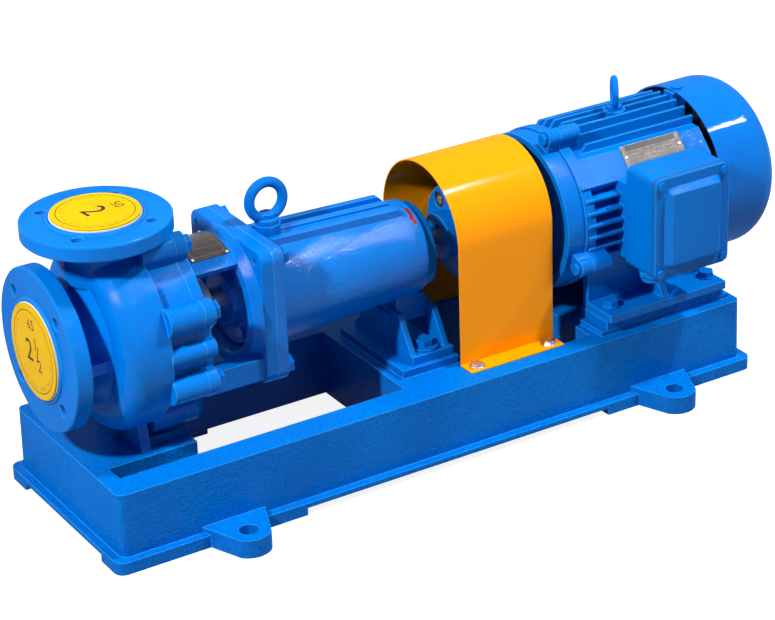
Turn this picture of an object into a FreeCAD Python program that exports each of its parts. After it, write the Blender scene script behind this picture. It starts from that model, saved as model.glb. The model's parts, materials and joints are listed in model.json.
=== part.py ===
"""A fluoroplastic-lined chemical pump on a cast base plate, driven by an electric motor.

Every length is measured from the suction flange face (x), from the middle plane (y) and from
the shaft axis (z). Each finished sub-part is then moved so that the row's origin lies on the
floor, in the middle of the four foundation holes. +X runs along the shaft towards the motor.
"""
import FreeCAD, Part
import math
import os
from types import SimpleNamespace

import Sketcher
from FreeCAD import Rotation, Vector

SIZES = (
    # The machine as a whole
    ("pattern_centre", 444.5, "suction face to the middle of the foundation holes"),
    ("base_height", 90.0, "floor to the top of the base rails"),
    ("shaft_height", 128.5, "base top to the shaft axis"),
    ("fit_gap", 0.3, "room left round pieces that are pushed into each other"),
    ("running_gap", 0.05, "radial room of a running fit"),
    # Flanges and passages
    ("suction_bore", 65.0, "nominal bore of the suction side"),
    ("suction_flange_od", 185.0, "suction flange diameter"),
    ("suction_bolt_circle", 145.0, "suction bolt circle"),
    ("suction_flange_thickness", 20.0, "suction flange thickness"),
    ("discharge_bore", 50.0, "nominal bore of the discharge side"),
    ("discharge_flange_od", 165.0, "discharge flange diameter"),
    ("discharge_bolt_circle", 125.0, "discharge bolt circle"),
    ("discharge_flange_thickness", 18.0, "discharge flange thickness"),
    ("flange_edge", 1.5, "bevel round both flanges"),
    ("flange_hole", 14.0, "core of the tapped M16 holes in both flanges"),
    ("discharge_offset", 80.0, "suction face to the discharge axis"),
    ("discharge_height", 136.7, "shaft axis to the discharge face"),
    ("lining_wall", 5.5, "wall of the fluoroplastic lining"),
    ("raised_face", 2.0, "raised sealing face in the middle of both flanges"),
    ("raised_face_margin", 3.5, "raised face outside the edge of the lining lip"),
    ("liner_lip_thickness", 1.5, "lining that folds over a flange face"),
    ("suction_lip_od", 110.0, "lining lip on the suction flange"),
    ("discharge_lip_od", 100.0, "lining lip on the discharge flange"),
    ("transport_cap_thickness", 2.0, "yellow cap over a flange opening"),
    ("transport_cap_margin", 1.0, "cap edge inside the edge of the lining lip"),
    ("cap_plug_depth", 10.0, "how far a cap's plug reaches into the bore"),
    ("cap_plug_wall", 2.0, "wall of a cap's hollow plug"),
    # Casing
    ("suction_neck_radius", 52.0, "outside of the suction neck"),
    ("suction_neck_end", 32.0, "where the neck starts to open into the drum"),
    ("discharge_neck_radius", 41.0, "outside of the discharge neck"),
    ("drum_front", 52.0, "front of the volute drum"),
    ("drum_rear", 107.0, "rear edge of the volute drum"),
    ("drum_radius", 106.0, "mean outside radius of the volute drum"),
    ("volute_growth", 2.5, "how far each quarter of the spiral steps outwards"),
    ("drum_rounding", 24.0, "rounding of the drum's front edge"),
    ("casing_body_radius", 98.0, "casing behind the drum, between its lobes"),
    ("casing_rear", 146.0, "rear joint face of the casing"),
    ("cavity_front", 61.0, "front wall of the hollow inside the casing"),
    ("cover_seat", 112.0, "shoulder that the rear cover is pressed against"),
    ("casing_rim", 3.0, "thinnest wall round the rear cover"),
    ("cover_step", 3.0, "step that the rear cover is pressed against"),
    ("lobe_offset", 7.0, "centres of the casing lobes outside the casing body"),
    ("lobe_radius", 15.5, "rounding of each casing lobe"),
    ("lobe_count", 8, "number of casing bolts"),
    ("casing_bolt", 12.0, "casing bolt diameter"),
    ("casing_bolt_depth", 24.0, "depth of the casing bolts' threaded holes"),
    ("jack_lobe_radius", 11.0, "lobe that carries a jacking screw"),
    ("foot_leg_front", 87.0, "front of the casing's leg"),
    ("foot_leg_thickness", 11.0, "thickness of the casing's leg"),
    ("foot_half_width", 56.0, "half width of the casing's leg at the base"),
    ("foot_plate_half_width", 42.0, "half width of the casing's foot"),
    ("neck_web_reach", 74.0, "outer edge of the webs beside the neck, from the middle plane"),
    ("neck_web_thickness", 13.0, "thickness of the webs beside the neck"),
    ("neck_web_drop", 3.0, "middle of those webs below the shaft axis"),
    ("foot_rear", 152.0, "rear end of the casing's foot"),
    ("foot_thickness", 8.0, "thickness of the casing's foot"),
    ("foot_bolt_x", 133.0, "suction face to the casing's foot bolts"),
    ("foot_bolt_y", 25.0, "middle plane to the casing's foot bolts"),
    ("foot_bolt", 12.0, "casing foot bolt diameter"),
    # Rear cover and shaft seal
    ("cover_lining_thickness", 6.0, "fluoroplastic plate in front of the cover"),
    ("cover_plate_thickness", 18.0, "thick part of the cover"),
    ("seal_chamber_radius", 27.0, "hole through the cover round the shaft"),
    ("gland_radius", 50.0, "outside of the seal gland"),
    ("gland_thickness", 14.0, "thickness of the seal gland"),
    ("gland_bolt_circle", 82.0, "bolt circle of the seal gland"),
    ("gland_bolt", 8.0, "gland bolt diameter"),
    ("seal_ring_radius", 26.0, "outside of the stationary seal ring"),
    ("seal_ring_length", 10.0, "length of the stationary seal ring"),
    ("seal_unit_length", 38.0, "length of the rotating seal unit"),
    ("seal_unit_radius", 30.0, "outside of the rotating seal unit"),
    # Lantern between pump and bearing housing
    ("lantern_ring_thickness", 13.0, "lantern ring that carries the casing bolts"),
    ("lantern_ring_bore", 62.0, "radius of the hole in the lantern ring"),
    ("lantern_plate_front", 232.0, "front of the lantern's square plate"),
    ("lantern_plate_thickness", 16.0, "lantern's square plate"),
    ("lantern_bore", 58.0, "radius of the hole in the lantern's square plate"),
    ("square_side", 160.0, "side of both square plates"),
    ("square_corner", 14.0, "corner rounding of both square plates"),
    ("square_edge", 2.5, "rounding round the faces of both square plates"),
    ("square_bolt_offset", 66.0, "middle planes to the bolts of the square plates"),
    ("square_bolt", 12.0, "bolt diameter in the square plates"),
    ("bridge_radius", 76.0, "outside radius of the lantern's top bridge"),
    ("bridge_wall", 9.0, "wall of the lantern's top bridge"),
    ("bridge_half_width", 47.0, "half width of the lantern's top bridge"),
    ("name_plate_sheet", 0.8, "sheet thickness of the nameplates"),
    ("bar_outer", 76.0, "outer side of a lantern bar, from the middle plane"),
    ("bar_width", 15.0, "width of a lantern bar"),
    ("bar_top", -46.0, "top of a lantern bar, from the shaft axis"),
    ("bar_depth", 26.0, "depth of a lantern bar"),
    # Bearing housing
    ("housing_plate_thickness", 14.0, "bearing housing's square plate"),
    ("housing_front_radius", 64.0, "bearing housing radius at the plate"),
    ("housing_rear_radius", 55.5, "bearing housing radius at the coupling end"),
    ("housing_end", 466.0, "suction face to the coupling end of the housing"),
    ("housing_rounding", 6.0, "rounding of the housing's end"),
    ("housing_wall", 12.0, "wall of the bearing housing"),
    ("housing_rib_height", 5.0, "top ribs above the housing"),
    ("housing_rib_thickness", 8.0, "thickness of a top rib"),
    ("housing_rib_pitch", 22.0, "distance between top ribs"),
    ("housing_rib_end", 446.0, "suction face to the end of the top ribs"),
    ("eye_bolt_x", 286.0, "suction face to the pump's eye bolt"),
    ("eye_boss_top", 75.5, "top of the eye bolt's boss above the shaft axis"),
    ("eye_boss_radius", 15.0, "radius of the eye bolt's boss"),
    ("eye_ring_od", 54.0, "outside of the eye bolt's ring"),
    ("eye_ring_id", 30.0, "inside of the eye bolt's ring"),
    ("eye_collar_height", 6.0, "collar below the eye bolt's ring"),
    ("eye_thread", 12.0, "thread diameter of the eye bolt"),
    ("front_bearing_x", 268.0, "suction face to the pump's front bearing"),
    ("front_bearing_od", 80.0, "outside of the pump's front bearing"),
    ("front_bearing_id", 35.0, "bore of the pump's front bearing"),
    ("front_bearing_width", 21.0, "width of the pump's front bearing"),
    ("rear_bearing_x", 430.0, "suction face to the pump's rear bearing"),
    ("rear_bearing_od", 72.0, "outside of the pump's rear bearing"),
    ("rear_bearing_id", 30.0, "bore of the pump's rear bearing"),
    ("rear_bearing_width", 19.0, "width of the pump's rear bearing"),
    ("front_cover_radius", 54.0, "outside of the front bearing cover"),
    ("front_cover_reach", 26.0, "front bearing cover in front of the housing"),
    ("rear_cover_radius", 50.0, "outside of the rear bearing cover"),
    ("rear_cover_thickness", 9.0, "flange of the rear bearing cover"),
    ("cover_screw", 8.0, "bearing cover screw diameter"),
    ("ball_count", 8, "balls in each bearing"),
    # Rear support of the bearing housing
    ("lug_front", 438.0, "front of the lug under the housing"),
    ("lug_length", 38.0, "length of the lug under the housing"),
    ("lug_half_width", 20.0, "half width of the lug under the housing"),
    ("lug_bottom", -84.0, "underside of the lug, from the shaft axis"),
    ("support_plate", 10.0, "thickness of the support's foot"),
    ("support_web", 7.0, "thickness of the support's upright webs"),
    ("support_half_width", 64.0, "half width of the support's foot"),
    ("support_top_half_width", 34.0, "half width of the webs at the top"),
    ("support_top", -67.0, "top of the webs, from the shaft axis"),
    ("support_rear_lip", 3.0, "foot behind the rear web"),
    ("support_bolt_y", 46.0, "middle plane to the support's bolts"),
    ("support_bolt", 12.0, "support bolt diameter"),
    ("support_washer", 34.0, "diameter of the support's broad washers"),
    # Pump shaft and impeller
    ("shaft_front", 66.0, "suction face to the front end of the pump shaft"),
    ("shaft_nose_radius", 12.0, "shaft radius under the impeller"),
    ("shaft_nose_end", 98.0, "suction face to the shoulder behind the impeller"),
    ("shaft_seal_radius", 16.0, "shaft radius through the seal"),
    ("shaft_middle_radius", 23.0, "shaft radius between the bearings"),
    ("shaft_end_radius", 12.0, "shaft radius in the coupling"),
    ("shaft_step", 476.0, "suction face to the shoulder behind the rear bearing"),
    ("pump_shaft_end", 549.0, "suction face to the coupling end of the pump shaft"),
    ("impeller_gap", 6.2, "room between the impeller and the lining around it"),
    ("impeller_outlet", 12.0, "width of the impeller's passages"),
    ("impeller_shroud", 4.5, "thickness of the impeller's shrouds"),
    ("impeller_eye_radius", 36.0, "outside of the impeller's eye ring"),
    ("impeller_eye_wall", 4.0, "wall of the impeller's eye ring"),
    ("impeller_eye_reach", 9.0, "eye ring in front of the front shroud"),
    ("impeller_hub_radius", 21.0, "outside of the impeller's hub"),
    ("blade_count", 6, "number of impeller blades"),
    ("blade_thickness", 4.0, "thickness of an impeller blade"),
    ("nut_length", 17.0, "length of the impeller nut"),
    ("nut_across", 30.0, "impeller nut across its corners"),
    # Coupling
    ("coupling_radius", 56.0, "radius of the coupling discs"),
    ("coupling_disc", 20.0, "thickness of a coupling disc"),
    ("coupling_hub_radius", 27.0, "radius of a coupling hub"),
    ("coupling_length", 42.0, "length of a coupling half"),
    ("coupling_gap", 4.0, "gap between the coupling halves"),
    ("pin_circle", 84.0, "pin circle of the coupling"),
    ("pin_count", 4, "number of coupling pins"),
    ("pin_radius", 5.0, "radius of a coupling pin"),
    ("bush_radius", 9.7, "radius of a rubber coupling bush"),
    ("key_width", 8.0, "width of the coupling keys"),
    ("key_length", 32.0, "length of the coupling keys"),
    ("key_height", 3.2, "how far a key stands out of its shaft"),
    ("key_depth", 4.0, "how deep a key lies in its shaft"),
    # Guard
    ("guard_front", 485.0, "suction face to the guard"),
    ("guard_length", 128.0, "length of the guard"),
    ("guard_half_width", 81.0, "half width of the guard outside its sheet"),
    ("guard_arch_centre", 16.5, "centre of the guard's arch above the shaft axis"),
    ("guard_sheet", 1.5, "sheet thickness of the guard"),
    ("guard_flange", 23.0, "width of the guard's feet"),
    ("guard_screw_inset", 13.0, "guard screws from the guard's ends"),
    ("guard_screw", 8.0, "guard screw diameter"),
    # Base
    ("base_front", 21.0, "suction face to the front end of the base, behind its nose"),
    ("base_rear", 855.0, "suction face to the rear end of the base"),
    ("base_half_width", 126.0, "half width of the base at its top"),
    ("base_corner", 9.0, "rounding of the base's upright corners"),
    ("base_draft", 0.8, "casting draft of the base's outer walls, degrees"),
    ("base_wall", 10.0, "wall of the base casting"),
    ("rail_width", 36.0, "width of the rails beside the window"),
    ("lip_width", 11.0, "rim round the foot of the base"),
    ("lip_height", 15.0, "height of the rim"),
    ("arch_height", 9.0, "how far the rim is lifted between its feet"),
    ("front_arch_half", 95.0, "half width of the lifted rim at the ends"),
    ("side_arch_start", 244.0, "suction face to the lifted rim at the sides"),
    ("side_arch_end", 653.0, "suction face to the end of that lifted rim"),
    ("front_beam_end", 42.0, "suction face to the rear of the base's front beam"),
    ("pedestal_half_width", 64.0, "half width of the block under the pump"),
    ("pedestal_end", 150.0, "suction face to the rear of that block"),
    ("window_end", 402.0, "suction face to the rear of the front window"),
    ("cross_beam_end", 497.0, "suction face to the rear of the middle beam"),
    ("rear_window_half", 74.0, "half width of the rear window under the guard"),
    ("rear_window_step", 616.0, "where the rear window gets wider"),
    ("rear_window_end", 652.0, "suction face to the end of the rear window"),
    ("rear_window_wide_half", 100.0, "half width of the rear window's wide part"),
    ("mid_pad_front", 414.0, "suction face to the pad under the support"),
    ("mid_pad_half_width", 70.0, "half width of the pad under the support"),
    ("mid_pad_height", 10.0, "height of the pad under the support"),
    ("anchor_pitch_x", 575.0, "foundation holes along the base"),
    ("anchor_pitch_y", 320.0, "foundation holes across the base"),
    ("anchor_hole", 22.0, "foundation hole diameter"),
    ("anchor_lug_radius", 25.0, "rounding of a foundation lug"),
    ("anchor_lug_half", 41.0, "half width of a lug at the base"),
    ("anchor_lug_height", 22.0, "height of a foundation lug"),
    # Motor
    ("motor_height", 112.0, "motor feet to the shaft axis"),
    ("motor_shoulder", 616.0, "suction face to the motor's shaft shoulder"),
    ("motor_shaft_length", 60.0, "free length of the motor shaft"),
    ("motor_shaft_radius", 14.0, "radius of the motor shaft's free end"),
    ("shield_front", 626.0, "suction face to the rim of the drive-end shield"),
    ("shield_radius", 95.0, "outside of the drive-end shield"),
    ("shield_boss_radius", 47.0, "bearing boss of the drive-end shield"),
    ("shield_ear_offset", 14.0, "centres of the shield ears outside the shield"),
    ("shield_ear_radius", 10.0, "rounding of a shield ear"),
    ("shield_ear_turn", 20.0, "angle of the first shield ear above the far side"),
    ("shield_bolt", 8.0, "shield bolt diameter"),
    ("frame_front", 650.0, "suction face to the motor frame"),
    ("frame_rear", 838.0, "suction face to the rear of the motor frame"),
    ("frame_radius", 82.0, "outside of the motor frame between its fins"),
    ("frame_wall", 6.0, "wall of the motor frame"),
    ("frame_collar", 18.0, "length of the smooth collar at the drive end"),
    ("fin_radius", 99.0, "radius that the cooling fins reach"),
    ("fin_thickness", 3.5, "thickness of a cooling fin"),
    ("fin_front", 672.0, "suction face to the front of the fins"),
    ("fin_chamfer", 12.0, "slanted front end of a top fin"),
    ("top_fin_pitch", 15.5, "distance between top fins"),
    ("side_fin_pitch", 14.5, "distance between side fins"),
    ("plate_pad_width", 46.0, "width of the slanted flat beside the top fins"),
    ("plate_pad_radius", 97.0, "shaft axis to that slanted flat"),
    ("plate_pad_tilt", 46.0, "slant of that flat, degrees"),
    ("motor_plate_length", 84.0, "length of the motor's nameplate"),
    ("motor_plate_width", 30.0, "width of the motor's nameplate"),
    ("motor_plate_start", 722.0, "suction face to the motor's nameplate"),
    ("plate_rivet", 3.0, "rivet hole diameter in the motor's nameplate"),
    ("plate_rivet_inset", 4.0, "rivets from the ends of the motor's nameplate"),
    ("motor_foot_front", 670.0, "suction face to the motor's feet"),
    ("motor_foot_length", 168.0, "length of the motor's feet"),
    ("motor_foot_inner", 62.0, "inner edge of a motor foot from the middle plane"),
    ("motor_foot_outer", 118.0, "outer edge of a motor foot from the middle plane"),
    ("motor_foot_thickness", 10.0, "thickness of a motor foot"),
    ("motor_leg_thickness", 10.0, "thickness of a motor leg"),
    ("motor_bolt_x", 686.0, "suction face to the front motor bolts"),
    ("motor_bolt_pitch_x", 140.0, "motor bolts along the shaft"),
    ("motor_bolt_pitch_y", 190.0, "motor bolts across the shaft"),
    ("motor_bolt", 10.0, "motor foot bolt diameter"),
    ("motor_pad_front", 661.0, "suction face to the pads under the motor"),
    ("motor_pad_length", 186.0, "length of a pad under the motor"),
    ("motor_pad_outer", 112.0, "outer edge of a pad from the middle plane"),
    ("motor_packing", 11.0, "height of the packing strips below the motor feet"),
    ("motor_eye_x", 759.0, "suction face to the motor's eye bolt"),
    ("motor_eye_od", 40.0, "outside of the motor's eye ring"),
    ("motor_eye_id", 24.0, "inside of the motor's eye ring"),
    ("motor_eye_collar", 5.0, "collar below the motor's eye ring"),
    ("motor_eye_thread", 10.0, "thread of the motor's eye bolt"),
    ("motor_eye_turn", 59.0, "angle that the motor's eye ring is screwed to"),
    ("stator_bore_radius", 50.0, "bore radius of the stator core"),
    ("stator_front", 690.0, "suction face to the stator core"),
    ("stator_length", 110.0, "length of the stator core"),
    ("winding_reach", 22.0, "winding heads in front of and behind the core"),
    ("air_gap", 0.5, "gap between rotor and stator"),
    ("motor_bearing_od", 62.0, "outside of the motor bearings"),
    ("motor_bearing_id", 30.0, "bore of the motor bearings"),
    ("motor_bearing_width", 16.0, "width of the motor bearings"),
    ("motor_bearing_front", 624.0, "suction face to the drive-end bearing"),
    ("motor_bearing_rear", 838.0, "suction face to the fan-end bearing"),
    ("fan_cover_front", 843.0, "suction face to the fan cover's rim"),
    ("fan_cover_end", 935.0, "suction face to the back of the fan cover"),
    ("fan_cover_radius", 104.0, "outside of the fan cover"),
    ("fan_cover_rounding", 36.0, "rounding of the fan cover's back"),
    ("fan_cover_sheet", 1.8, "sheet thickness of the fan cover"),
    ("fan_cover_screw", 6.0, "screws that hold the fan cover"),
    ("cover_lug_width", 16.0, "lugs of the fan-end shield that carry the fan cover"),
    ("fan_front", 868.0, "suction face to the fan"),
    ("fan_length", 28.0, "length of the fan"),
    ("fan_radius", 88.0, "radius of the fan"),
    ("fan_hub_radius", 22.0, "radius of the fan's hub"),
    ("fan_blade_count", 8, "number of fan blades"),
    ("fan_blade_thickness", 3.0, "thickness of a fan blade"),
    ("grille_slots", 12, "slots in each ring of the fan cover's grille"),
    # Terminal box
    ("box_front", 698.0, "suction face to the terminal box"),
    ("box_length", 105.0, "length of the terminal box"),
    ("box_bottom", -48.0, "underside of the terminal box, from the shaft axis"),
    ("box_side", 125.0, "height of the terminal box"),
    ("box_inner", 108.0, "middle plane to the back of the terminal box"),
    ("box_depth", 50.0, "depth of the terminal box"),
    ("box_wall", 4.0, "wall of the terminal box"),
    ("box_corner", 9.0, "corner rounding of the terminal box"),
    ("lid_plate", 6.0, "rim of the terminal box lid"),
    ("lid_dome", 8.0, "raised middle of the lid"),
    ("lid_margin", 13.0, "rim of the lid round its raised middle"),
    ("lid_screw_inset", 8.0, "lid screws from the edges of the lid"),
    ("lid_screw", 5.0, "lid screw diameter"),
    ("gland_hole_pitch", 44.0, "distance between the two cable inlets"),
    ("gland_nut_radius", 14.0, "radius of a cable inlet's plug"),
    ("gland_nut_height", 13.0, "height of a cable inlet's plug"),
)


class Size:
    """A length that knows its value and the sheet formula that it follows."""

    def __init__(self, value, formula):
        self.value = value
        self.formula = formula

    def __add__(self, other):
        return joined(self, "+", other)

    def __radd__(self, other):
        return joined(other, "+", self)

    def __sub__(self, other):
        return joined(self, "-", other)

    def __rsub__(self, other):
        return joined(other, "-", self)

    def __mul__(self, other):
        return joined(self, "*", other)

    def __rmul__(self, other):
        return joined(other, "*", self)

    def __truediv__(self, other):
        return joined(self, "/", other)

    def __neg__(self):
        return joined(0, "-", self)


def as_size(item):
    """Turn a plain number into a size that never changes."""
    if isinstance(item, Size):
        return item
    return Size(float(item), f"({float(item):.9g})")


def joined(left, sign, right):
    """Work out left sign right, as a value and as a formula."""
    left, right = as_size(left), as_size(right)
    value = {
        "+": left.value + right.value,
        "-": left.value - right.value,
        "*": left.value * right.value,
        "/": left.value / right.value if right.value else 0.0,
    }[sign]
    return Size(value, f"({left.formula} {sign} {right.formula})")


def root(item):
    """The square root of a size."""
    return Size(math.sqrt(item.value), f"sqrt({item.formula})")


def chord(radius, offset):
    """How high a circle of this radius reaches at this distance from its middle."""
    return root(radius * radius - offset * offset)


doc = FreeCAD.newDocument("chemical_pump")
sheet = doc.addObject("Spreadsheet::Sheet", "Sizes")
for row, (alias, value, meaning) in enumerate(SIZES, start=1):
    sheet.set(f"A{row}", alias)
    sheet.set(f"B{row}", str(value))
    sheet.set(f"C{row}", meaning)
    sheet.setAlias(f"B{row}", alias)
doc.recompute()
s = SimpleNamespace(**{alias: Size(float(value), f"Sizes.{alias}") for alias, value, _ in SIZES})

LOBES = int(s.lobe_count.value)
BLADES = int(s.blade_count.value)
PINS = int(s.pin_count.value)
FAN_BLADES = int(s.fan_blade_count.value)
SLOTS = int(s.grille_slots.value)
BALLS = int(s.ball_count.value)

# Which way a primitive's own height points
TURNS = {
    "+X": Rotation(Vector(0, 1, 0), 90),
    "-X": Rotation(Vector(0, 1, 0), -90),
    "+Y": Rotation(Vector(1, 0, 0), -90),
    "-Y": Rotation(Vector(1, 0, 0), 90),
    "+Z": Rotation(),
    "-Z": Rotation(Vector(1, 0, 0), 180),
}
STEPS = {"+X": (1, 0, 0), "-X": (-1, 0, 0), "+Y": (0, 1, 0), "-Y": (0, -1, 0), "+Z": (0, 0, 1),
         "-Z": (0, 0, -1)}


def bind(feature, path, item):
    """Let a property follow a size."""
    feature.setExpression(path, as_size(item).formula)


def place(feature, point, way="+Z"):
    """Put a feature at a point, with its height along one of the six ways."""
    feature.Placement = FreeCAD.Placement(Vector(0, 0, 0), TURNS[way])
    for axis, item in zip("xyz", point):
        bind(feature, f".Placement.Base.{axis}", item)
    return feature


def cylinder(point, radius, length, way="+X"):
    feature = doc.addObject("Part::Cylinder", "cylinder")
    bind(feature, "Radius", radius)
    bind(feature, "Height", length)
    return place(feature, point, way)


def bevelled_disc(point, radius, thickness, bevel, way="+X"):
    """A flat disc with both of its rims bevelled."""
    middle = cylinder(along(point, way, bevel), radius, thickness - bevel * 2, way)
    ends = []
    for start, first, last in ((0, radius - bevel, radius), (thickness - bevel, radius, radius - bevel)):
        end = doc.addObject("Part::Cone", "bevelled_rim")
        bind(end, "Radius1", first)
        bind(end, "Radius2", last)
        bind(end, "Height", bevel)
        ends.append(place(end, along(point, way, start), way))
    return fuse(middle, *ends)


def box(low, high):
    feature = doc.addObject("Part::Box", "box")
    for side, near, far in zip(("Length", "Width", "Height"), low, high):
        bind(feature, side, far - near)
    return place(feature, low)


def hexagon(point, across, length, way="+X"):
    """A hexagonal bar, sized across its flats."""
    feature = doc.addObject("Part::Prism", "hexagon")
    feature.Polygon = 6
    bind(feature, "Circumradius", across / math.sqrt(3))
    bind(feature, "Height", length)
    return place(feature, point, way)


def fuse(*features):
    feature = doc.addObject("Part::MultiFuse", "fused")
    feature.Shapes = list(features)
    feature.Refine = True
    return feature


def cut(base, *tools):
    feature = doc.addObject("Part::Cut", "cut")
    feature.Base = base
    feature.Tool = tools[0] if len(tools) == 1 else fuse(*tools)
    feature.Refine = True
    return feature


def common(first, second):
    feature = doc.addObject("Part::Common", "shared")
    feature.Base = first
    feature.Tool = second
    return feature


def group(features):
    feature = doc.addObject("Part::Compound", "group")
    feature.Links = list(features)
    return feature


def along(point, way, distance):
    """The point that lies a distance further along one of the six ways."""
    return tuple(item + distance * step if step else item for item, step in zip(point, STEPS[way]))


def ring_points(count, circle, start=0.0):
    """Points (y, z) on a bolt circle round the shaft axis; 0 degrees is the far side."""
    angles = [math.radians(start + 360.0 * index / count) for index in range(count)]
    return [(circle / 2 * round(math.cos(a), 9), circle / 2 * round(math.sin(a), 9)) for a in angles]


def hex_bolt(seat, diameter, length, way):
    """A hexagon bolt whose head stands on its seat; the shank runs back into the work."""
    head = hexagon(seat, diameter * 1.6, diameter * 0.65, way)
    shank = cylinder(along(seat, way, -length), diameter / 2, length, way)
    return fuse(head, shank)


def new_body(label):
    return doc.addObject("PartDesign::Body", label)


def sketch_on(body, plane, offset=0):
    """A sketch on one of a body's own planes, moved along that plane's normal."""
    sketch = body.newObject("Sketcher::SketchObject", "sketch")
    support = next(item for item in body.Origin.OriginFeatures if item.Role == plane)
    sketch.AttachmentSupport = (support, "")
    sketch.MapMode = "FlatFace"
    bind(sketch, ".AttachmentOffset.Base.z", offset)
    return sketch


def arc_between(start, end, radius):
    """An arc from start to end whose centre is left of the way there, or right if negative."""
    middle, run = (start + end) / 2, end - start
    rise = math.sqrt(max(radius * radius - run.Length ** 2 / 4, 0.0))
    side = Vector(-run.y, run.x, 0).normalize() * (rise if radius > 0 else -rise)
    centre = middle + side
    first, last = (start, end) if radius > 0 else (end, start)
    angles = [math.atan2(p.y - centre.y, p.x - centre.x) for p in (first, last)]
    circle = Part.Circle(centre, Vector(0, 0, 1), abs(radius))
    return Part.ArcOfCircle(circle, angles[0], angles[1])


def draw(sketch, corners):
    """Close an outline through corners (x, y), or (x, y, radius) where an arc leaves the corner."""
    corners = [tuple(as_size(item) for item in corner) for corner in corners]
    first = sketch.GeometryCount
    rules, followers = [], []
    points = [Vector(corner[0].value, corner[1].value, 0) for corner in corners]
    starts = []
    for index, corner in enumerate(corners):
        start, end = points[index], points[(index + 1) % len(points)]
        if len(corner) == 3:
            sketch.addGeometry(arc_between(start, end, corner[2].value), False)
            starts.append(1 if corner[2].value > 0 else 2)
        else:
            sketch.addGeometry(Part.LineSegment(start, end), False)
            starts.append(1)
    for index, corner in enumerate(corners):
        here, following = first + index, first + (index + 1) % len(corners)
        end, begin = 3 - starts[index], starts[(index + 1) % len(corners)]
        rules.append(Sketcher.Constraint("Coincident", here, end, following, begin))
        for kind, item, axis in (("DistanceX", corner[0], -2), ("DistanceY", corner[1], -1)):
            if abs(item.value) < 1e-9:
                rules.append(Sketcher.Constraint("PointOnObject", here, starts[index], axis))
            else:
                followers.append((len(rules), item))
                rules.append(Sketcher.Constraint(kind, -1, 1, here, starts[index], item.value))
        if len(corner) == 3:
            size = corner[2] if corner[2].value > 0 else -corner[2]
            followers.append((len(rules), size))
            rules.append(Sketcher.Constraint("Radius", here, size.value))
    base = len(sketch.Constraints)
    sketch.addConstraint(rules)
    for index, item in followers:
        bind(sketch, f"Constraints[{base + index}]", item)
    return sketch


def rounded(low, high, radius):
    """The corners of a rectangle with rounded corners, anticlockwise."""
    (x0, y0), (x1, y1) = low, high
    return [
        (x0 + radius, y0), (x1 - radius, y0, radius), (x1, y0 + radius), (x1, y1 - radius, radius),
        (x1 - radius, y1), (x0 + radius, y1, radius), (x0, y1 - radius), (x0, y0 + radius, radius),
    ]


def turned(outline, label="turned"):
    """A body turned about the shaft axis; the outline holds (distance along it, radius)."""
    body = new_body(label)
    sketch = draw(sketch_on(body, "XZ_Plane"), outline)
    feature = body.newObject("PartDesign::Revolution", "turn")
    feature.Profile = sketch
    feature.ReferenceAxis = (sketch, ["H_Axis"])
    feature.Angle = 360
    return body


def padded(plane, outline, offset, length, label="padded"):
    """A body pushed up from an outline on XY, XZ or YZ, along that plane's normal."""
    body = new_body(label)
    sketch = draw(sketch_on(body, plane + "_Plane", offset), outline)
    feature = body.newObject("PartDesign::Pad", "pad")
    feature.Profile = sketch
    bind(feature, "Length", length)
    return body


def round_off(body, radius, wanted):
    """Round the edges of a body's tip that a test picks out."""
    doc.recompute()
    tip = body.Tip
    names = [f"Edge{n}" for n, edge in enumerate(tip.Shape.Edges, start=1) if wanted(edge)]
    feature = body.newObject("PartDesign::Fillet", "rounding")
    feature.Base = (tip, names)
    bind(feature, "Radius", radius)
    return body


def tube(start, end, inner, outer):
    """The outline of a plain ring round the shaft."""
    return [(start, inner), (end, inner), (end, outer), (start, outer)]


parts = []


def finish(feature, label):
    """Name a sub-part and move it from the pump's own measuring frame to the row's frame."""
    feature.Label = label
    bind(feature, ".Placement.Base.x", -s.pattern_centre)
    bind(feature, ".Placement.Base.z", s.base_height + s.shaft_height)
    parts.append(feature)
    return feature


# Radii that follow from the casing body
cover_radius = s.casing_body_radius - s.casing_rim
cavity_radius = cover_radius - s.cover_step
lobe_circle = (s.casing_body_radius + s.lobe_offset) * 2
jack_circle = lobe_circle - s.jack_lobe_radius

# Casing: flanges, suction neck, spiral drum, lobes and foot
suction_neck_bore = s.suction_bore / 2 + s.lining_wall + s.fit_gap
discharge_neck_bore = s.discharge_bore / 2 + s.lining_wall + s.fit_gap
casing_turned = turned([
    (-s.raised_face, suction_neck_bore), (-s.raised_face, s.suction_lip_od / 2 + s.raised_face_margin),
    (0, s.suction_lip_od / 2 + s.raised_face_margin), (0, s.suction_flange_od / 2 - s.flange_edge),
    (s.flange_edge, s.suction_flange_od / 2),
    (s.suction_flange_thickness - s.flange_edge, s.suction_flange_od / 2),
    (s.suction_flange_thickness, s.suction_flange_od / 2 - s.flange_edge),
    (s.suction_flange_thickness, s.suction_neck_radius), (s.suction_neck_end, s.suction_neck_radius),
    (s.drum_front, s.casing_body_radius - s.drum_rounding),
    (s.drum_front + s.drum_rounding, s.casing_body_radius), (s.casing_rear, s.casing_body_radius),
    (s.casing_rear, cover_radius + s.fit_gap), (s.cover_seat, cover_radius + s.fit_gap),
    (s.cover_seat, cavity_radius), (s.cavity_front, cavity_radius),
    (s.cavity_front, suction_neck_bore),
], "casing_turned")


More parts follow.
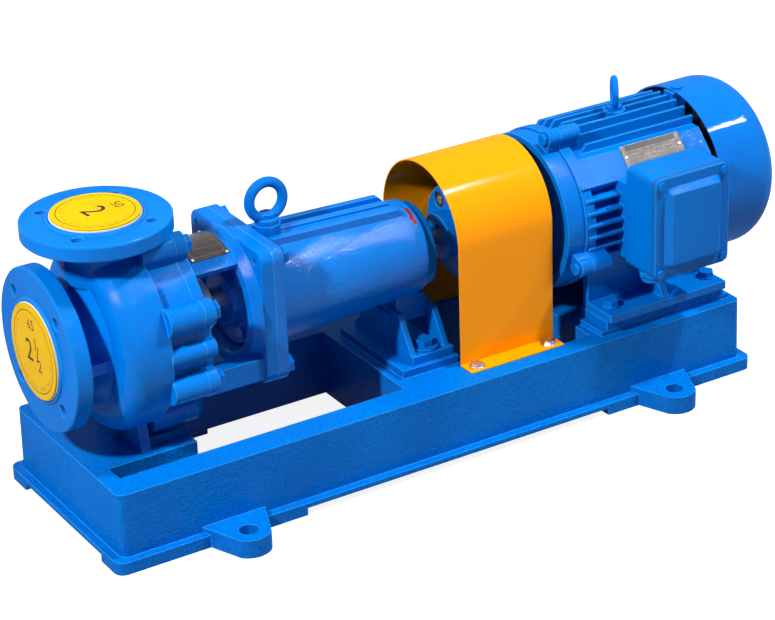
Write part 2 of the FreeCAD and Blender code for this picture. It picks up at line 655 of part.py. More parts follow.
spiral_body = new_body("volute_drum")
spiral_sketch = sketch_on(spiral_body, "YZ_Plane", s.drum_front)
grow = s.volute_growth
low_radius, near_radius = s.drum_radius, s.drum_radius + grow
draw(spiral_sketch, [
    (-near_radius, 0, near_radius), (0, -near_radius, low_radius * 1.02),
    (low_radius - grow, 0, low_radius), (0, low_radius, near_radius),
])
spiral_pad = spiral_body.newObject("PartDesign::Pad", "drum")
spiral_pad.Profile = spiral_sketch
bind(spiral_pad, "Length", s.drum_rear - s.drum_front)
round_off(spiral_body, s.drum_rounding,
          lambda edge: abs(edge.BoundBox.XMax - s.drum_front.value) < 0.01)

lobes = [cylinder((s.drum_rear - 2, y, z), s.lobe_radius, s.casing_rear - s.drum_rear + 2)
         for y, z in ring_points(LOBES, lobe_circle, 22.5)]
jack_lobes = [cylinder((s.drum_rear - 2, y, z), s.jack_lobe_radius, s.casing_rear - s.drum_rear + 2)
              for y, z in ring_points(2, jack_circle)]
discharge_under = s.discharge_height - s.discharge_flange_thickness
discharge_neck = cylinder((s.discharge_offset, 0, s.casing_body_radius * 0.7),
                          s.discharge_neck_radius, discharge_under - s.casing_body_radius * 0.7, "+Z")
discharge_flange = bevelled_disc((s.discharge_offset, 0, discharge_under), s.discharge_flange_od / 2,
                                 s.discharge_flange_thickness, s.flange_edge, "+Z")
discharge_face = cylinder((s.discharge_offset, 0, s.discharge_height - 1),
                          s.discharge_lip_od / 2 + s.raised_face_margin, s.raised_face + 1, "+Z")
base_top = -s.shaft_height
foot_top = base_top + s.foot_thickness
foot_plate = box((s.foot_leg_front, -s.foot_plate_half_width, base_top),
                 (s.foot_rear, s.foot_plate_half_width, foot_top))
neck_webs = box((s.suction_flange_thickness - 1, -s.neck_web_reach,
                 -s.neck_web_drop - s.neck_web_thickness / 2),
                (s.drum_front + s.drum_rounding / 2, s.neck_web_reach,
                 -s.neck_web_drop + s.neck_web_thickness / 2))
leg_outline = [
    (-s.foot_half_width, base_top), (s.foot_half_width, base_top),
    (s.foot_half_width * 0.8, -s.casing_body_radius * 0.8),
    (-s.foot_half_width * 0.8, -s.casing_body_radius * 0.8),
]
leg = padded("YZ", leg_outline, s.foot_leg_front, s.foot_leg_thickness, "casing_leg")
keel = box((s.drum_front + s.drum_rounding, -s.foot_leg_thickness / 2, base_top),
           (s.casing_rear - 8, s.foot_leg_thickness / 2, -s.casing_body_radius + 8))
casing_hollow = cylinder((s.cavity_front, 0, 0), cavity_radius, s.cover_seat - s.cavity_front)
cover_hollow = cylinder((s.cover_seat, 0, 0), cover_radius + s.fit_gap, s.casing_rear - s.cover_seat + 30)
discharge_passage = cylinder((s.discharge_offset, 0, cavity_radius * 0.6), discharge_neck_bore,
                             s.discharge_height, "+Z")
suction_passage = cylinder((-s.raised_face - 1, 0, 0), suction_neck_bore,
                           s.cavity_front + s.raised_face + 2)
suction_holes = [cylinder((-1, y, z), s.flange_hole / 2, s.suction_flange_thickness + 2)
                 for y, z in ring_points(4, s.suction_bolt_circle, 45)]
discharge_holes = [cylinder((s.discharge_offset + y, z, discharge_under - 1), s.flange_hole / 2,
                            s.discharge_flange_thickness + 2, "+Z")
                   for y, z in ring_points(4, s.discharge_bolt_circle, 45)]
casing_threads = [cylinder((s.casing_rear - s.casing_bolt_depth, y, z), s.casing_bolt / 2,
                           s.casing_bolt_depth + 1)
                  for y, z in ring_points(LOBES, lobe_circle, 22.5)]
foot_bolt_points = [(s.foot_bolt_x, side * s.foot_bolt_y) for side in (-1, 1)]
foot_holes = [cylinder((x, y, base_top - 1), s.foot_bolt / 2 + s.fit_gap, s.foot_thickness + 2, "+Z")
              for x, y in foot_bolt_points]
casing_solid = fuse(casing_turned, spiral_body, *lobes, *jack_lobes, discharge_neck, discharge_flange,
                    discharge_face,
                    foot_plate, neck_webs, leg, keel)
finish(cut(casing_solid, casing_hollow, cover_hollow, suction_passage, discharge_passage,
           *suction_holes, *discharge_holes, *casing_threads, *foot_holes), "pump_casing")

# Fluoroplastic lining: suction tube, volute shell and discharge tube, with a lip on each flange
lining_outer = cavity_radius - s.fit_gap
lining_inner = lining_outer - s.lining_wall
lining_front = s.cavity_front + s.fit_gap
suction_tube_radius = s.suction_bore / 2 + s.lining_wall
shroud_front = s.discharge_offset - s.impeller_outlet / 2 - s.impeller_shroud
eye_front = shroud_front - s.impeller_eye_reach
volute_front = lining_front + s.lining_wall
eye_room = s.impeller_eye_radius + 1
lip_front = -s.raised_face - s.liner_lip_thickness
lining_shell = turned([
    (lip_front, s.suction_bore / 2), (lip_front, s.suction_lip_od / 2),
    (-s.raised_face, s.suction_lip_od / 2), (-s.raised_face, suction_tube_radius),
    (lining_front, suction_tube_radius),
    (lining_front, lining_outer), (s.cover_seat, lining_outer), (s.cover_seat, lining_inner),
    (volute_front, lining_inner), (volute_front, eye_room), (eye_front - 1, eye_room),
    (eye_front - 1, s.suction_bore / 2),
], "lining_shell")
lining_lip_top = s.discharge_height + s.raised_face + s.liner_lip_thickness
discharge_tube = cylinder((s.discharge_offset, 0, lining_inner - 4), s.discharge_bore / 2 + s.lining_wall,
                          s.discharge_height + s.raised_face - lining_inner + 4, "+Z")
discharge_lip = cylinder((s.discharge_offset, 0, s.discharge_height + s.raised_face),
                         s.discharge_lip_od / 2,
                         s.liner_lip_thickness, "+Z")
volute_room = cylinder((volute_front, 0, 0), lining_inner, s.cover_seat - volute_front + 1)
discharge_bore = cylinder((s.discharge_offset, 0, lining_inner * 0.7), s.discharge_bore / 2,
                          lining_lip_top, "+Z")
finish(cut(fuse(lining_shell, discharge_tube, discharge_lip), volute_room, discharge_bore), "casing_lining")

# Rear cover with its fluoroplastic plate
cover_face = s.cover_seat + s.cover_lining_thickness
finish(turned(tube(s.cover_seat, cover_face, s.seal_chamber_radius, cover_radius)), "cover_lining")
gland_holes = [cylinder((s.casing_rear - 14, y, z), s.gland_bolt / 2, 15)
               for y, z in ring_points(4, s.gland_bolt_circle, 45)]
seal_tube_wide = s.gland_bolt_circle / 2 + s.gland_bolt
cover_turned = turned([
    (cover_face, s.seal_chamber_radius), (cover_face, cover_radius),
    (s.casing_rear, cover_radius), (s.casing_rear, cover_radius - 14),
    (cover_face + s.cover_plate_thickness, cover_radius - 18),
    (cover_face + s.cover_plate_thickness, seal_tube_wide),
    (s.casing_rear, seal_tube_wide), (s.casing_rear, s.seal_chamber_radius),
])
finish(cut(cover_turned, *gland_holes), "casing_cover")

# Lantern: lobed ring, top bridge, two bars and the square plate
ring_end = s.casing_rear + s.lantern_ring_thickness
plate_front = s.lantern_plate_front
plate_rear = plate_front + s.lantern_plate_thickness
lantern_ring = cylinder((s.casing_rear, 0, 0), s.casing_body_radius, s.lantern_ring_thickness)
lantern_lobes = [cylinder((s.casing_rear, y, z), s.lobe_radius, s.lantern_ring_thickness)
                 for y, z in ring_points(LOBES, lobe_circle, 22.5)]
lantern_jacks = [cylinder((s.casing_rear, y, z), s.jack_lobe_radius, s.lantern_ring_thickness)
                 for y, z in ring_points(2, jack_circle)]
half_side = s.square_side / 2
square_outline = rounded((-half_side, -half_side), (half_side, half_side), s.square_corner)
lantern_plate = padded("YZ", square_outline, plate_front, s.lantern_plate_thickness, "lantern_plate")
round_off(lantern_plate, s.square_edge, lambda edge: abs(edge.BoundBox.XMax - plate_front.value) < 0.01)
bridge_inner = s.bridge_radius - s.bridge_wall
bridge_half = s.bridge_half_width
bridge_half_inner = bridge_half * 0.88
bridge = padded("YZ", [
    (bridge_half, chord(s.bridge_radius, bridge_half), s.bridge_radius),
    (-bridge_half, chord(s.bridge_radius, bridge_half)),
    (-bridge_half_inner, chord(bridge_inner, bridge_half_inner), -bridge_inner),
    (bridge_half_inner, chord(bridge_inner, bridge_half_inner)),
], ring_end, plate_front - ring_end, "lantern_bridge")
bars = [box((ring_end, min_y, s.bar_top - s.bar_depth), (plate_front, min_y + s.bar_width, s.bar_top))
        for min_y in (-s.bar_outer, s.bar_outer - s.bar_width)]
flare = turned([
    (plate_front - 10, s.bridge_radius - 1), (plate_front, s.bridge_radius + 7),
    (plate_front, s.lantern_bore), (plate_front - 10, s.lantern_bore + 4),
], "lantern_flare")
lantern_hole = cylinder((s.casing_rear - 1, 0, 0), s.lantern_ring_bore, s.lantern_ring_thickness + 2)
plate_hole = cylinder((plate_front - 20, 0, 0), s.lantern_bore, s.lantern_plate_thickness + 21)
lantern_bolt_holes = [cylinder((s.casing_rear - 1, y, z), s.casing_bolt / 2, s.lantern_ring_thickness + 2)
                      for y, z in ring_points(LOBES, lobe_circle, 22.5)]
square_points = [(y * s.square_bolt_offset, z * s.square_bolt_offset) for y in (-1, 1) for z in (-1, 1)]
square_threads = [cylinder((plate_front - 1, y, z), s.square_bolt / 2 - 2, s.lantern_plate_thickness + 2)
                  for y, z in square_points]
square_taps = [cylinder((plate_front + 4, y, z), s.square_bolt / 2, s.lantern_plate_thickness)
               for y, z in square_points]
lantern_solid = fuse(lantern_ring, *lantern_lobes, *lantern_jacks, lantern_plate, bridge, *bars, flare)
finish(cut(lantern_solid, lantern_hole, plate_hole, *lantern_bolt_holes, *square_threads, *square_taps),
       "lantern")
finish(group([hex_bolt((ring_end, y, z), s.casing_bolt, s.lantern_ring_thickness + s.casing_bolt_depth - 2,
                       "+X")
              for y, z in ring_points(LOBES, lobe_circle, 22.5)]), "casing_bolts")

name_plate_half = s.bridge_half_width * 0.72
name_plate_inner = s.bridge_radius + s.fit_gap
name_plate_outer = name_plate_inner + s.name_plate_sheet
finish(padded("YZ", [
    (name_plate_half, chord(name_plate_outer, name_plate_half), name_plate_outer),
    (-name_plate_half, chord(name_plate_outer, name_plate_half)),
    (-name_plate_half, chord(name_plate_inner, name_plate_half), -name_plate_inner),
    (name_plate_half, chord(name_plate_inner, name_plate_half)),
], ring_end + 14, plate_front - ring_end - 26), "pump_nameplate")

# Shaft seal outside the cover
gland_rear = s.casing_rear + s.gland_thickness
seal_ring_bore = s.shaft_seal_radius + 1.5
ring_front = gland_rear - s.seal_ring_length + 1
finish(cut(
    turned([
        (s.casing_rear, s.seal_ring_radius - 4), (s.casing_rear, s.gland_radius),
        (gland_rear, s.gland_radius), (gland_rear, s.seal_ring_radius + s.fit_gap),
        (ring_front, s.seal_ring_radius + s.fit_gap), (ring_front, s.seal_ring_radius - 4),
    ]),
    *[cylinder((s.casing_rear - 1, y, z), s.gland_bolt / 2, s.gland_thickness + 2)
      for y, z in ring_points(4, s.gland_bolt_circle, 45)],
    cylinder((s.casing_rear + s.gland_thickness / 2, 0, s.seal_ring_radius + 6), 3.5, s.gland_radius, "+Z"),
), "seal_gland")
finish(group([hex_bolt((gland_rear, y, z), s.gland_bolt, s.gland_thickness + 12, "+X")
              for y, z in ring_points(4, s.gland_bolt_circle, 45)]), "gland_bolts")
finish(turned(tube(ring_front, gland_rear + 1, seal_ring_bore, s.seal_ring_radius)), "seal_stationary_ring")
seal_front = gland_rear + 1
seal_rear = seal_front + s.seal_unit_length
bellows_low = s.seal_unit_radius - 6
fold = s.seal_unit_length / 9
finish(turned([
    (seal_front, s.shaft_seal_radius), (seal_front, s.seal_ring_radius - 2),
    (seal_front + fold, s.seal_ring_radius - 2),
    (seal_front + fold, s.seal_unit_radius), (seal_front + fold * 2, s.seal_unit_radius),
    (seal_front + fold * 2, bellows_low), (seal_front + fold * 3, bellows_low),
    (seal_front + fold * 3, s.seal_unit_radius), (seal_front + fold * 4, s.seal_unit_radius),
    (seal_front + fold * 4, bellows_low), (seal_front + fold * 5, bellows_low),
    (seal_front + fold * 5, s.seal_unit_radius), (seal_rear, s.seal_unit_radius),
    (seal_rear, s.shaft_seal_radius),
]), "seal_rotating_unit")

# Bearing housing
housing_front = plate_rear
housing_plate_rear = housing_front + s.housing_plate_thickness
housing_cavity = s.housing_rear_radius - s.housing_wall
front_bearing_end = s.front_bearing_x + s.front_bearing_width
rear_bearing_end = s.rear_bearing_x + s.rear_bearing_width
housing_barrel = turned([
    (housing_front, s.front_bearing_od / 2), (housing_front, s.housing_front_radius),
    (s.housing_end - s.housing_rounding, s.housing_rear_radius, -s.housing_rounding),
    (s.housing_end, s.housing_rear_radius - s.housing_rounding), (s.housing_end, s.rear_bearing_od / 2),
    (s.rear_bearing_x, s.rear_bearing_od / 2), (s.rear_bearing_x, s.rear_bearing_od / 2 - 4),
    (s.rear_bearing_x - 8, s.rear_bearing_od / 2 - 4), (s.rear_bearing_x - 8, housing_cavity),
    (front_bearing_end + 10, housing_cavity), (front_bearing_end + 10, s.front_bearing_od / 2),
], "housing_barrel")
housing_plate = padded("YZ", square_outline, housing_front, s.housing_plate_thickness, "housing_plate")
round_off(housing_plate, s.square_edge, lambda edge: abs(edge.BoundBox.XMin - housing_plate_rear.value) < 0.01)
rib_root = s.housing_rear_radius - s.housing_wall / 2
rib_front_top = s.housing_front_radius + s.housing_rib_height - 2
rib_rear_top = s.housing_rear_radius + s.housing_rib_height
ribs = [padded("XZ", [
    (housing_plate_rear - 1, rib_root), (s.housing_rib_end, rib_root),
    (s.housing_rib_end, rib_rear_top - 6), (s.housing_rib_end - 6, rib_rear_top),
    (housing_plate_rear - 1, rib_front_top),
], -offset - s.housing_rib_thickness / 2, s.housing_rib_thickness, "housing_rib")
    for offset in (-s.housing_rib_pitch, 0, s.housing_rib_pitch)]
eye_boss = cylinder((s.eye_bolt_x, 0, s.housing_rear_radius - 4), s.eye_boss_radius,
                    s.eye_boss_top - s.housing_rear_radius + 4, "+Z")
lug_rear = s.lug_front + s.lug_length
lug = box((s.lug_front, -s.lug_half_width, s.lug_bottom),
          (lug_rear, s.lug_half_width, -s.housing_rear_radius + s.housing_wall - 2))
lug_trim = box((s.housing_end, -s.housing_rear_radius, -s.housing_rear_radius + 2),
               (lug_rear + 20, s.housing_rear_radius, s.housing_rear_radius))
barrel_room = cylinder((front_bearing_end + 10, 0, 0), housing_cavity,
                       s.rear_bearing_x - front_bearing_end - 18)
bearing_bore = cylinder((housing_front - 1, 0, 0), s.front_bearing_od / 2,
                        front_bearing_end - housing_front + 12)
rear_bore = cylinder((s.rear_bearing_x, 0, 0), s.rear_bearing_od / 2, s.housing_end - s.rear_bearing_x + 40)
eye_tap = cylinder((s.eye_bolt_x, 0, s.eye_boss_top - s.eye_thread * 1.6), s.eye_thread / 2,
                   s.eye_thread * 2, "+Z")
square_clear = [cylinder((housing_front - 1, y, z), s.square_bolt / 2, s.housing_plate_thickness + 2)
                for y, z in square_points]
cover_circle = s.front_cover_radius * 2 - 18
front_screw_points = ring_points(4, cover_circle, 45)
front_screw_taps = [cylinder((housing_front - 1, y, z), s.cover_screw / 2, 15) for y,
                    z in front_screw_points]
rear_circle = s.rear_bearing_od + 14
rear_screw_points = ring_points(4, rear_circle, 45)
rear_screw_taps = [cylinder((s.housing_end - 14, y, z), s.cover_screw / 2, 15) for y,
                   z in rear_screw_points]
support_screw_z = s.lug_bottom + 9
support_screw_points = [(side * s.lug_half_width / 2, support_screw_z) for side in (-1, 1)]
support_taps = [cylinder((s.lug_front - 1, y, z), s.cover_screw / 2, s.lug_length + 2)
                for y, z in support_screw_points]
finish(cut(fuse(housing_barrel, housing_plate, *ribs, eye_boss, lug), barrel_room, bearing_bore, rear_bore,
           eye_tap, *square_clear, *front_screw_taps, *rear_screw_taps, *support_taps, lug_trim),
           "bearing_housing")
finish(group([hex_bolt((housing_plate_rear, y, z), s.square_bolt, s.housing_plate_thickness + 11, "+X")
              for y, z in square_points]), "lantern_bolts")


def eye_bolt(x, top, outer, inner, collar, thread, depth, turn=0.0):
    """A lifting eye: a round ring on a collar, screwed into a boss to this depth."""
    bar = (outer - inner) / 4
    ring_centre = top + collar + outer / 2 - bar
    ring = doc.addObject("Part::Torus", "eye")
    bind(ring, "Radius1", (outer + inner) / 4)
    bind(ring, "Radius2", bar)
    flat = Rotation(Vector(0, 0, 1), turn).multiply(Rotation(Vector(1, 0, 0), 90))
    place(ring, (x, 0, ring_centre))
    ring.Placement.Rotation = flat
    foot = cylinder((x, 0, top), bar * 2.2, collar, "+Z")
    neck = cylinder((x, 0, top), bar * 1.5, collar + bar, "+Z")
    shank = cylinder((x, 0, top - depth), thread / 2, depth + collar / 2, "+Z")
    return fuse(ring, foot, neck, shank)


finish(eye_bolt(s.eye_bolt_x, s.eye_boss_top, s.eye_ring_od, s.eye_ring_id, s.eye_collar_height,
                s.eye_thread,
                s.eye_thread * 1.5), "pump_eye_bolt")

# Bearing covers and their screws
shaft_room = s.running_gap
front_cover_front = housing_front - s.front_cover_reach
spigot_radius = s.front_bearing_od / 2 - s.running_gap
front_bearing_seat = s.front_bearing_id / 2
front_cover_solid = turned([
    (front_cover_front, s.shaft_seal_radius + shaft_room), (front_cover_front, s.seal_unit_radius),
    (front_cover_front + 10, s.seal_unit_radius + 4), (front_cover_front + 10, s.front_cover_radius),
    (housing_front, s.front_cover_radius), (housing_front, spigot_radius),
    (s.front_bearing_x, spigot_radius), (s.front_bearing_x, spigot_radius - 6),
    (housing_front, spigot_radius - 6), (housing_front, s.shaft_seal_radius + 3),
    (front_cover_front + 8, s.shaft_seal_radius + 3),
    (front_cover_front + 8, s.shaft_seal_radius + shaft_room),
])
front_head_seat = front_cover_front + 10
finish(cut(front_cover_solid,
           *[cylinder((front_head_seat - 1, y, z), s.cover_screw / 2, s.front_cover_reach) for y,
             z in front_screw_points]),
       "front_bearing_cover")
rear_cover_end = s.housing_end + s.rear_cover_thickness
rear_spigot = s.rear_bearing_od / 2 - s.running_gap
rear_shaft_radius = s.rear_bearing_id / 2
finish(cut(
    turned([
        (rear_bearing_end, rear_spigot - 6), (rear_bearing_end, rear_spigot), (s.housing_end, rear_spigot),
        (s.housing_end, s.rear_cover_radius), (rear_cover_end, s.rear_cover_radius),
        (rear_cover_end, rear_shaft_radius + shaft_room),
        (rear_cover_end - 7, rear_shaft_radius + shaft_room),
        (rear_cover_end - 7, rear_spigot - 6),
    ]),
    *[cylinder((s.housing_end - 1, y, z), s.cover_screw / 2, s.rear_cover_thickness + 2) for y,
      z in rear_screw_points],
), "rear_bearing_cover")
finish(group(
    [hex_bolt((front_head_seat, y, z), s.cover_screw, s.front_cover_reach - 10 + 12, "-X") for y,
     z in front_screw_points]
    + [hex_bolt((rear_cover_end, y, z), s.cover_screw, s.rear_cover_thickness + 12, "+X") for y,
       z in rear_screw_points]
), "bearing_cover_screws")


def bearing(start, inner, outer, width):
    """A deep-groove ball bearing: its outer ring, its inner ring and the circle of its balls."""
    bore, rim = inner / 2, outer / 2
    third = (rim - bore) / 3
    middle = start + width / 2
    groove = third * 0.62
    race = third * 0.25
    outer_ring = turned([
        (start, rim), (start, rim - third), (middle - groove, rim - third),
        (middle - groove * 0.6, rim - third + race), (middle + groove * 0.6, rim - third + race),
        (middle + groove, rim - third), (start + width, rim - third), (start + width, rim),
    ])
    inner_ring = turned([
        (start, bore), (start, bore + third), (middle - groove, bore + third),
        (middle - groove * 0.6, bore + third - race), (middle + groove * 0.6, bore + third - race),
        (middle + groove, bore + third), (start + width, bore + third), (start + width, bore),
    ])
    balls = []
    for y, z in ring_points(BALLS, bore + rim):
        ball = doc.addObject("Part::Sphere", "ball")
        bind(ball, "Radius", third / 2 + race - s.running_gap * 2)
        balls.append(place(ball, (middle, y, z)))
    return outer_ring, inner_ring, balls


pump_bearings = [
    bearing(s.front_bearing_x, s.front_bearing_id, s.front_bearing_od, s.front_bearing_width),
    bearing(s.rear_bearing_x, s.rear_bearing_id, s.rear_bearing_od, s.rear_bearing_width),
]
finish(group([outer for outer, inner, balls in pump_bearings]), "pump_bearing_outer_rings")
finish(group([inner for outer, inner, balls in pump_bearings]), "pump_bearing_inner_rings")
finish(group(pump_bearings[0][2] + pump_bearings[1][2]), "pump_bearing_balls")

# Support under the coupling end of the housing
mid_pad_top = base_top + s.mid_pad_height
support_top = mid_pad_top + s.support_plate
support_front = s.lug_front - s.support_web
support_end = lug_rear + s.support_web + s.support_rear_lip
support_foot = box((support_front, -s.support_half_width, mid_pad_top),
                   (support_end, s.support_half_width, support_top))
web_outline = [
    (-s.support_half_width + 4, support_top - 1), (s.support_half_width - 4, support_top - 1),
    (s.support_top_half_width, s.support_top), (-s.support_top_half_width, s.support_top),
]
webs = [padded("YZ", web_outline, start, s.support_web, "support_web")
        for start in (support_front, lug_rear)]
support_bolt_x = (s.lug_front + lug_rear) / 2
support_points = [(support_bolt_x, side * s.support_bolt_y) for side in (-1, 1)]
support_holes = [cylinder((x, y, mid_pad_top - 1), s.support_bolt / 2 + s.fit_gap, s.support_plate + 2,
                          "+Z")
                 for x, y in support_points]
web_room = cylinder((support_front - 1, 0, 0), s.housing_rear_radius + 3.5,
                    s.lug_length + s.support_web * 2 + 2)
web_holes = [cylinder((support_front - 1, y, z), s.cover_screw / 2, s.lug_length + s.support_web * 2 + 2)
             for y, z in support_screw_points]
finish(cut(fuse(support_foot, *webs), web_room, *support_holes, *web_holes), "housing_support")
washer_thickness = 3
support_head_seat = support_top + washer_thickness
finish(group(
    [fuse(cylinder((x, y, support_top), s.support_washer / 2, washer_thickness, "+Z"),
          hex_bolt((x, y, support_head_seat), s.support_bolt, washer_thickness + s.support_plate + 14,
                   "+Z"))
     for x, y in support_points]
    + [hex_bolt((support_front, y, z), s.cover_screw, s.support_web + 15, "-X") for y,
       z in support_screw_points]
    + [hex_bolt((lug_rear + s.support_web, y, z), s.cover_screw, s.support_web + 15, "+X")
       for y, z in support_screw_points]
), "support_bolts")
finish(group([hex_bolt((x, y, foot_top), s.foot_bolt, s.foot_thickness + 16, "+Z") for x,
              y in foot_bolt_points]),
       "pump_foot_bolts")

# Pump shaft with its keyed coupling end
shaft_outline = [
    (s.shaft_front, 0), (s.shaft_front, s.shaft_nose_radius), (s.shaft_nose_end, s.shaft_nose_radius),
    (s.shaft_nose_end, s.shaft_seal_radius), (s.front_bearing_x - 4, s.shaft_seal_radius),
    (s.front_bearing_x - 4, front_bearing_seat), (front_bearing_end, front_bearing_seat),
    (front_bearing_end, s.shaft_middle_radius), (s.rear_bearing_x, s.shaft_middle_radius),
    (s.rear_bearing_x, rear_shaft_radius), (s.shaft_step, rear_shaft_radius),
    (s.shaft_step, s.shaft_end_radius),
    (s.pump_shaft_end - 1.5, s.shaft_end_radius), (s.pump_shaft_end, s.shaft_end_radius - 1.5),
    (s.pump_shaft_end, 0),
]
pump_half_front = s.pump_shaft_end + 1 - s.coupling_length
pump_key_start = pump_half_front + 4


def key_block(start, radius, end=None, gap=0.0):
    """A square key lying in the top of a shaft, or the longer slot that it slides into."""
    half = s.key_width / 2 + gap
    stop = start + s.key_length if end is None else end
    return box((start, -half, radius - s.key_depth), (stop, half, radius + s.key_height + gap))


finish(cut(turned(shaft_outline), key_block(pump_key_start, s.shaft_end_radius)), "pump_shaft")
finish(group([key_block(pump_key_start, s.shaft_end_radius)]), "pump_coupling_key")

# Impeller: hub, two shrouds and swept blades between them
passage_front = s.discharge_offset - s.impeller_outlet / 2
passage_rear = passage_front + s.impeller_outlet
hub_rear = s.shaft_nose_end
impeller_radius = lining_inner - s.impeller_gap
impeller_discs = turned([
    (passage_rear, s.shaft_nose_radius), (s.shaft_front, s.shaft_nose_radius),
    (s.shaft_front, s.impeller_hub_radius - 5),
    (passage_rear, s.impeller_hub_radius), (passage_rear, impeller_radius),
    (passage_rear + s.impeller_shroud, impeller_radius),
    (passage_rear + s.impeller_shroud, s.impeller_hub_radius),
    (hub_rear, s.impeller_hub_radius), (hub_rear, s.shaft_nose_radius),
], "impeller_rear_disc")
eye_inner = s.impeller_eye_radius - s.impeller_eye_wall
front_shroud = turned([
    (eye_front, eye_inner), (eye_front, s.impeller_eye_radius), (shroud_front, s.impeller_eye_radius),
    (shroud_front, impeller_radius), (passage_front, impeller_radius), (passage_front, eye_inner),
], "impeller_front_disc")
blades = []
blade_root = eye_inner + 1
blade_tip = impeller_radius - 0.5
for index in range(BLADES):
    blade = padded("YZ", [
        (blade_root, 0), (blade_root + s.blade_thickness, 0, -blade_tip * 0.9),
        (blade_tip * 0.62, blade_tip * 0.78), (blade_tip * 0.55, blade_tip * 0.80, blade_tip * 0.9),
    ], passage_front - 0.5, s.impeller_outlet + 1, "blade")
    blade.Placement = FreeCAD.Placement(Vector(), Rotation(Vector(1, 0, 0), 360.0 * index / BLADES))
    blades.append(blade)
finish(fuse(impeller_discs, front_shroud, *blades), "impeller")
nut_front = s.shaft_front - s.nut_length
finish(fuse(hexagon((nut_front + 5, 0, 0), s.nut_across * 0.866, s.nut_length - 5),
            cylinder((nut_front, 0, 0), s.nut_across * 0.3, 6)), "impeller_nut")

# Coupling halves, pins and bushes
pump_disc_front = s.pump_shaft_end + 1 - s.coupling_disc
pump_half_rear = s.pump_shaft_end + 1
motor_half_front = pump_half_rear + s.coupling_gap
motor_disc_rear = motor_half_front + s.coupling_disc
motor_half_rear = motor_half_front + s.coupling_length
pin_points = ring_points(PINS, s.pin_circle, 45)


def coupling_half(hub_end, disc_start, disc_end, other_end, bore):
    """One coupling half: hub outline from its free end to the joint face."""
    return turned([
        (hub_end, bore), (hub_end, s.coupling_hub_radius), (disc_start, s.coupling_hub_radius),
        (disc_start, s.coupling_radius), (disc_end, s.coupling_radius), (disc_end, bore),
    ])


bush_holes = [cylinder((pump_disc_front - 1, y, z), s.bush_radius + s.fit_gap, s.coupling_disc + 2)
              for y, z in pin_points]
pin_holes = [cylinder((motor_half_front - 1, y, z), s.pin_radius, s.coupling_disc + 2) for y,
             z in pin_points]
finish(cut(coupling_half(pump_half_front, pump_disc_front, pump_half_rear, None, s.shaft_end_radius),
           *bush_holes, key_block(pump_half_front - 1, s.shaft_end_radius, pump_half_rear + 1,
                                  s.running_gap)),
       "pump_coupling_half")
motor_key_start = motor_half_front + 5
finish(cut(coupling_half(motor_half_rear, motor_disc_rear, motor_half_front, None, s.motor_shaft_radius),
           *pin_holes, key_block(motor_half_front - 1, s.motor_shaft_radius, motor_half_rear + 1,
                                 s.running_gap)),
       "motor_coupling_half")
pin_head_seat = pump_disc_front + 1
finish(group([fuse(cylinder((pin_head_seat, y, z), s.pin_radius, motor_disc_rear - pin_head_seat),
                   cylinder((pump_half_rear + 0.5, y, z), s.pin_radius * 1.5, s.coupling_gap - 0.5),
                   hexagon((motor_disc_rear, y, z), s.pin_radius * 3.2, 7))
              for y, z in pin_points]), "coupling_pins")
finish(group([turned_bush for turned_bush in [
    cut(cylinder((pin_head_seat + 1, y, z), s.bush_radius, s.coupling_disc - 1.5),
        cylinder((pin_head_seat, y, z), s.pin_radius, s.coupling_disc + 1)) for y, z in pin_points]]),
    "coupling_bushes")
finish(group([key_block(motor_key_start, s.motor_shaft_radius)]), "motor_coupling_key")

# Guard over the coupling: one bent sheet
arch, half_guard, sheet = s.guard_arch_centre, s.guard_half_width, s.guard_sheet
inner_half = half_guard - sheet
guard_reach = half_guard + s.guard_flange
guard_sheet = padded("YZ", [
    (guard_reach, base_top), (guard_reach, base_top + sheet), (half_guard, base_top + sheet),
    (half_guard, arch, half_guard), (0, arch + half_guard, half_guard), (-half_guard, arch),
    (-half_guard, base_top + sheet), (-guard_reach, base_top + sheet), (-guard_reach, base_top),
    (-inner_half, base_top), (-inner_half, arch, -inner_half), (0, arch + inner_half, -inner_half),
    (inner_half, arch), (inner_half, base_top),
], s.guard_front, s.guard_length, "guard_sheet")
guard_end = s.guard_front + s.guard_length
guard_screw_y = half_guard + s.guard_flange * 0.55
guard_points = [(x, side * guard_screw_y)
                for x in (s.guard_front + s.guard_screw_inset, guard_end - s.guard_screw_inset)
                for side in (-1, 1)]
guard_holes = [cylinder((x, y, base_top - 1), s.guard_screw / 2 + s.fit_gap, 5, "+Z") for x,
               y in guard_points]
finish(cut(guard_sheet, *guard_holes), "coupling_guard")
finish(group([hex_bolt((x, y, base_top + sheet), s.guard_screw, sheet + 9, "+Z") for x, y in guard_points]),
       "guard_screws")

# Base casting
floor = base_top - s.base_height
base_outline = rounded((s.base_front, -s.base_half_width), (s.base_rear, s.base_half_width), s.base_corner)
base_block = new_body("base_block")
base_sketch = draw(sketch_on(base_block, "XY_Plane", base_top), base_outline)
base_pad = base_block.newObject("PartDesign::Pad", "walls")
base_pad.Profile = base_sketch
base_pad.Reversed = True
bind(base_pad, "Length", s.base_height)
bind(base_pad, "TaperAngle", s.base_draft)
lip_outline = rounded((s.base_front - s.lip_width, -s.base_half_width - s.lip_width),
                      (s.base_rear + s.lip_width, s.base_half_width + s.lip_width), s.base_corner + 3)
lip = padded("XY", lip_outline, floor, s.lip_height, "base_lip")
anchor_points = [(s.pattern_centre + i * s.anchor_pitch_x / 2, j * s.anchor_pitch_y / 2) for i in (-1, 1)
                 for j in (-1, 1)]


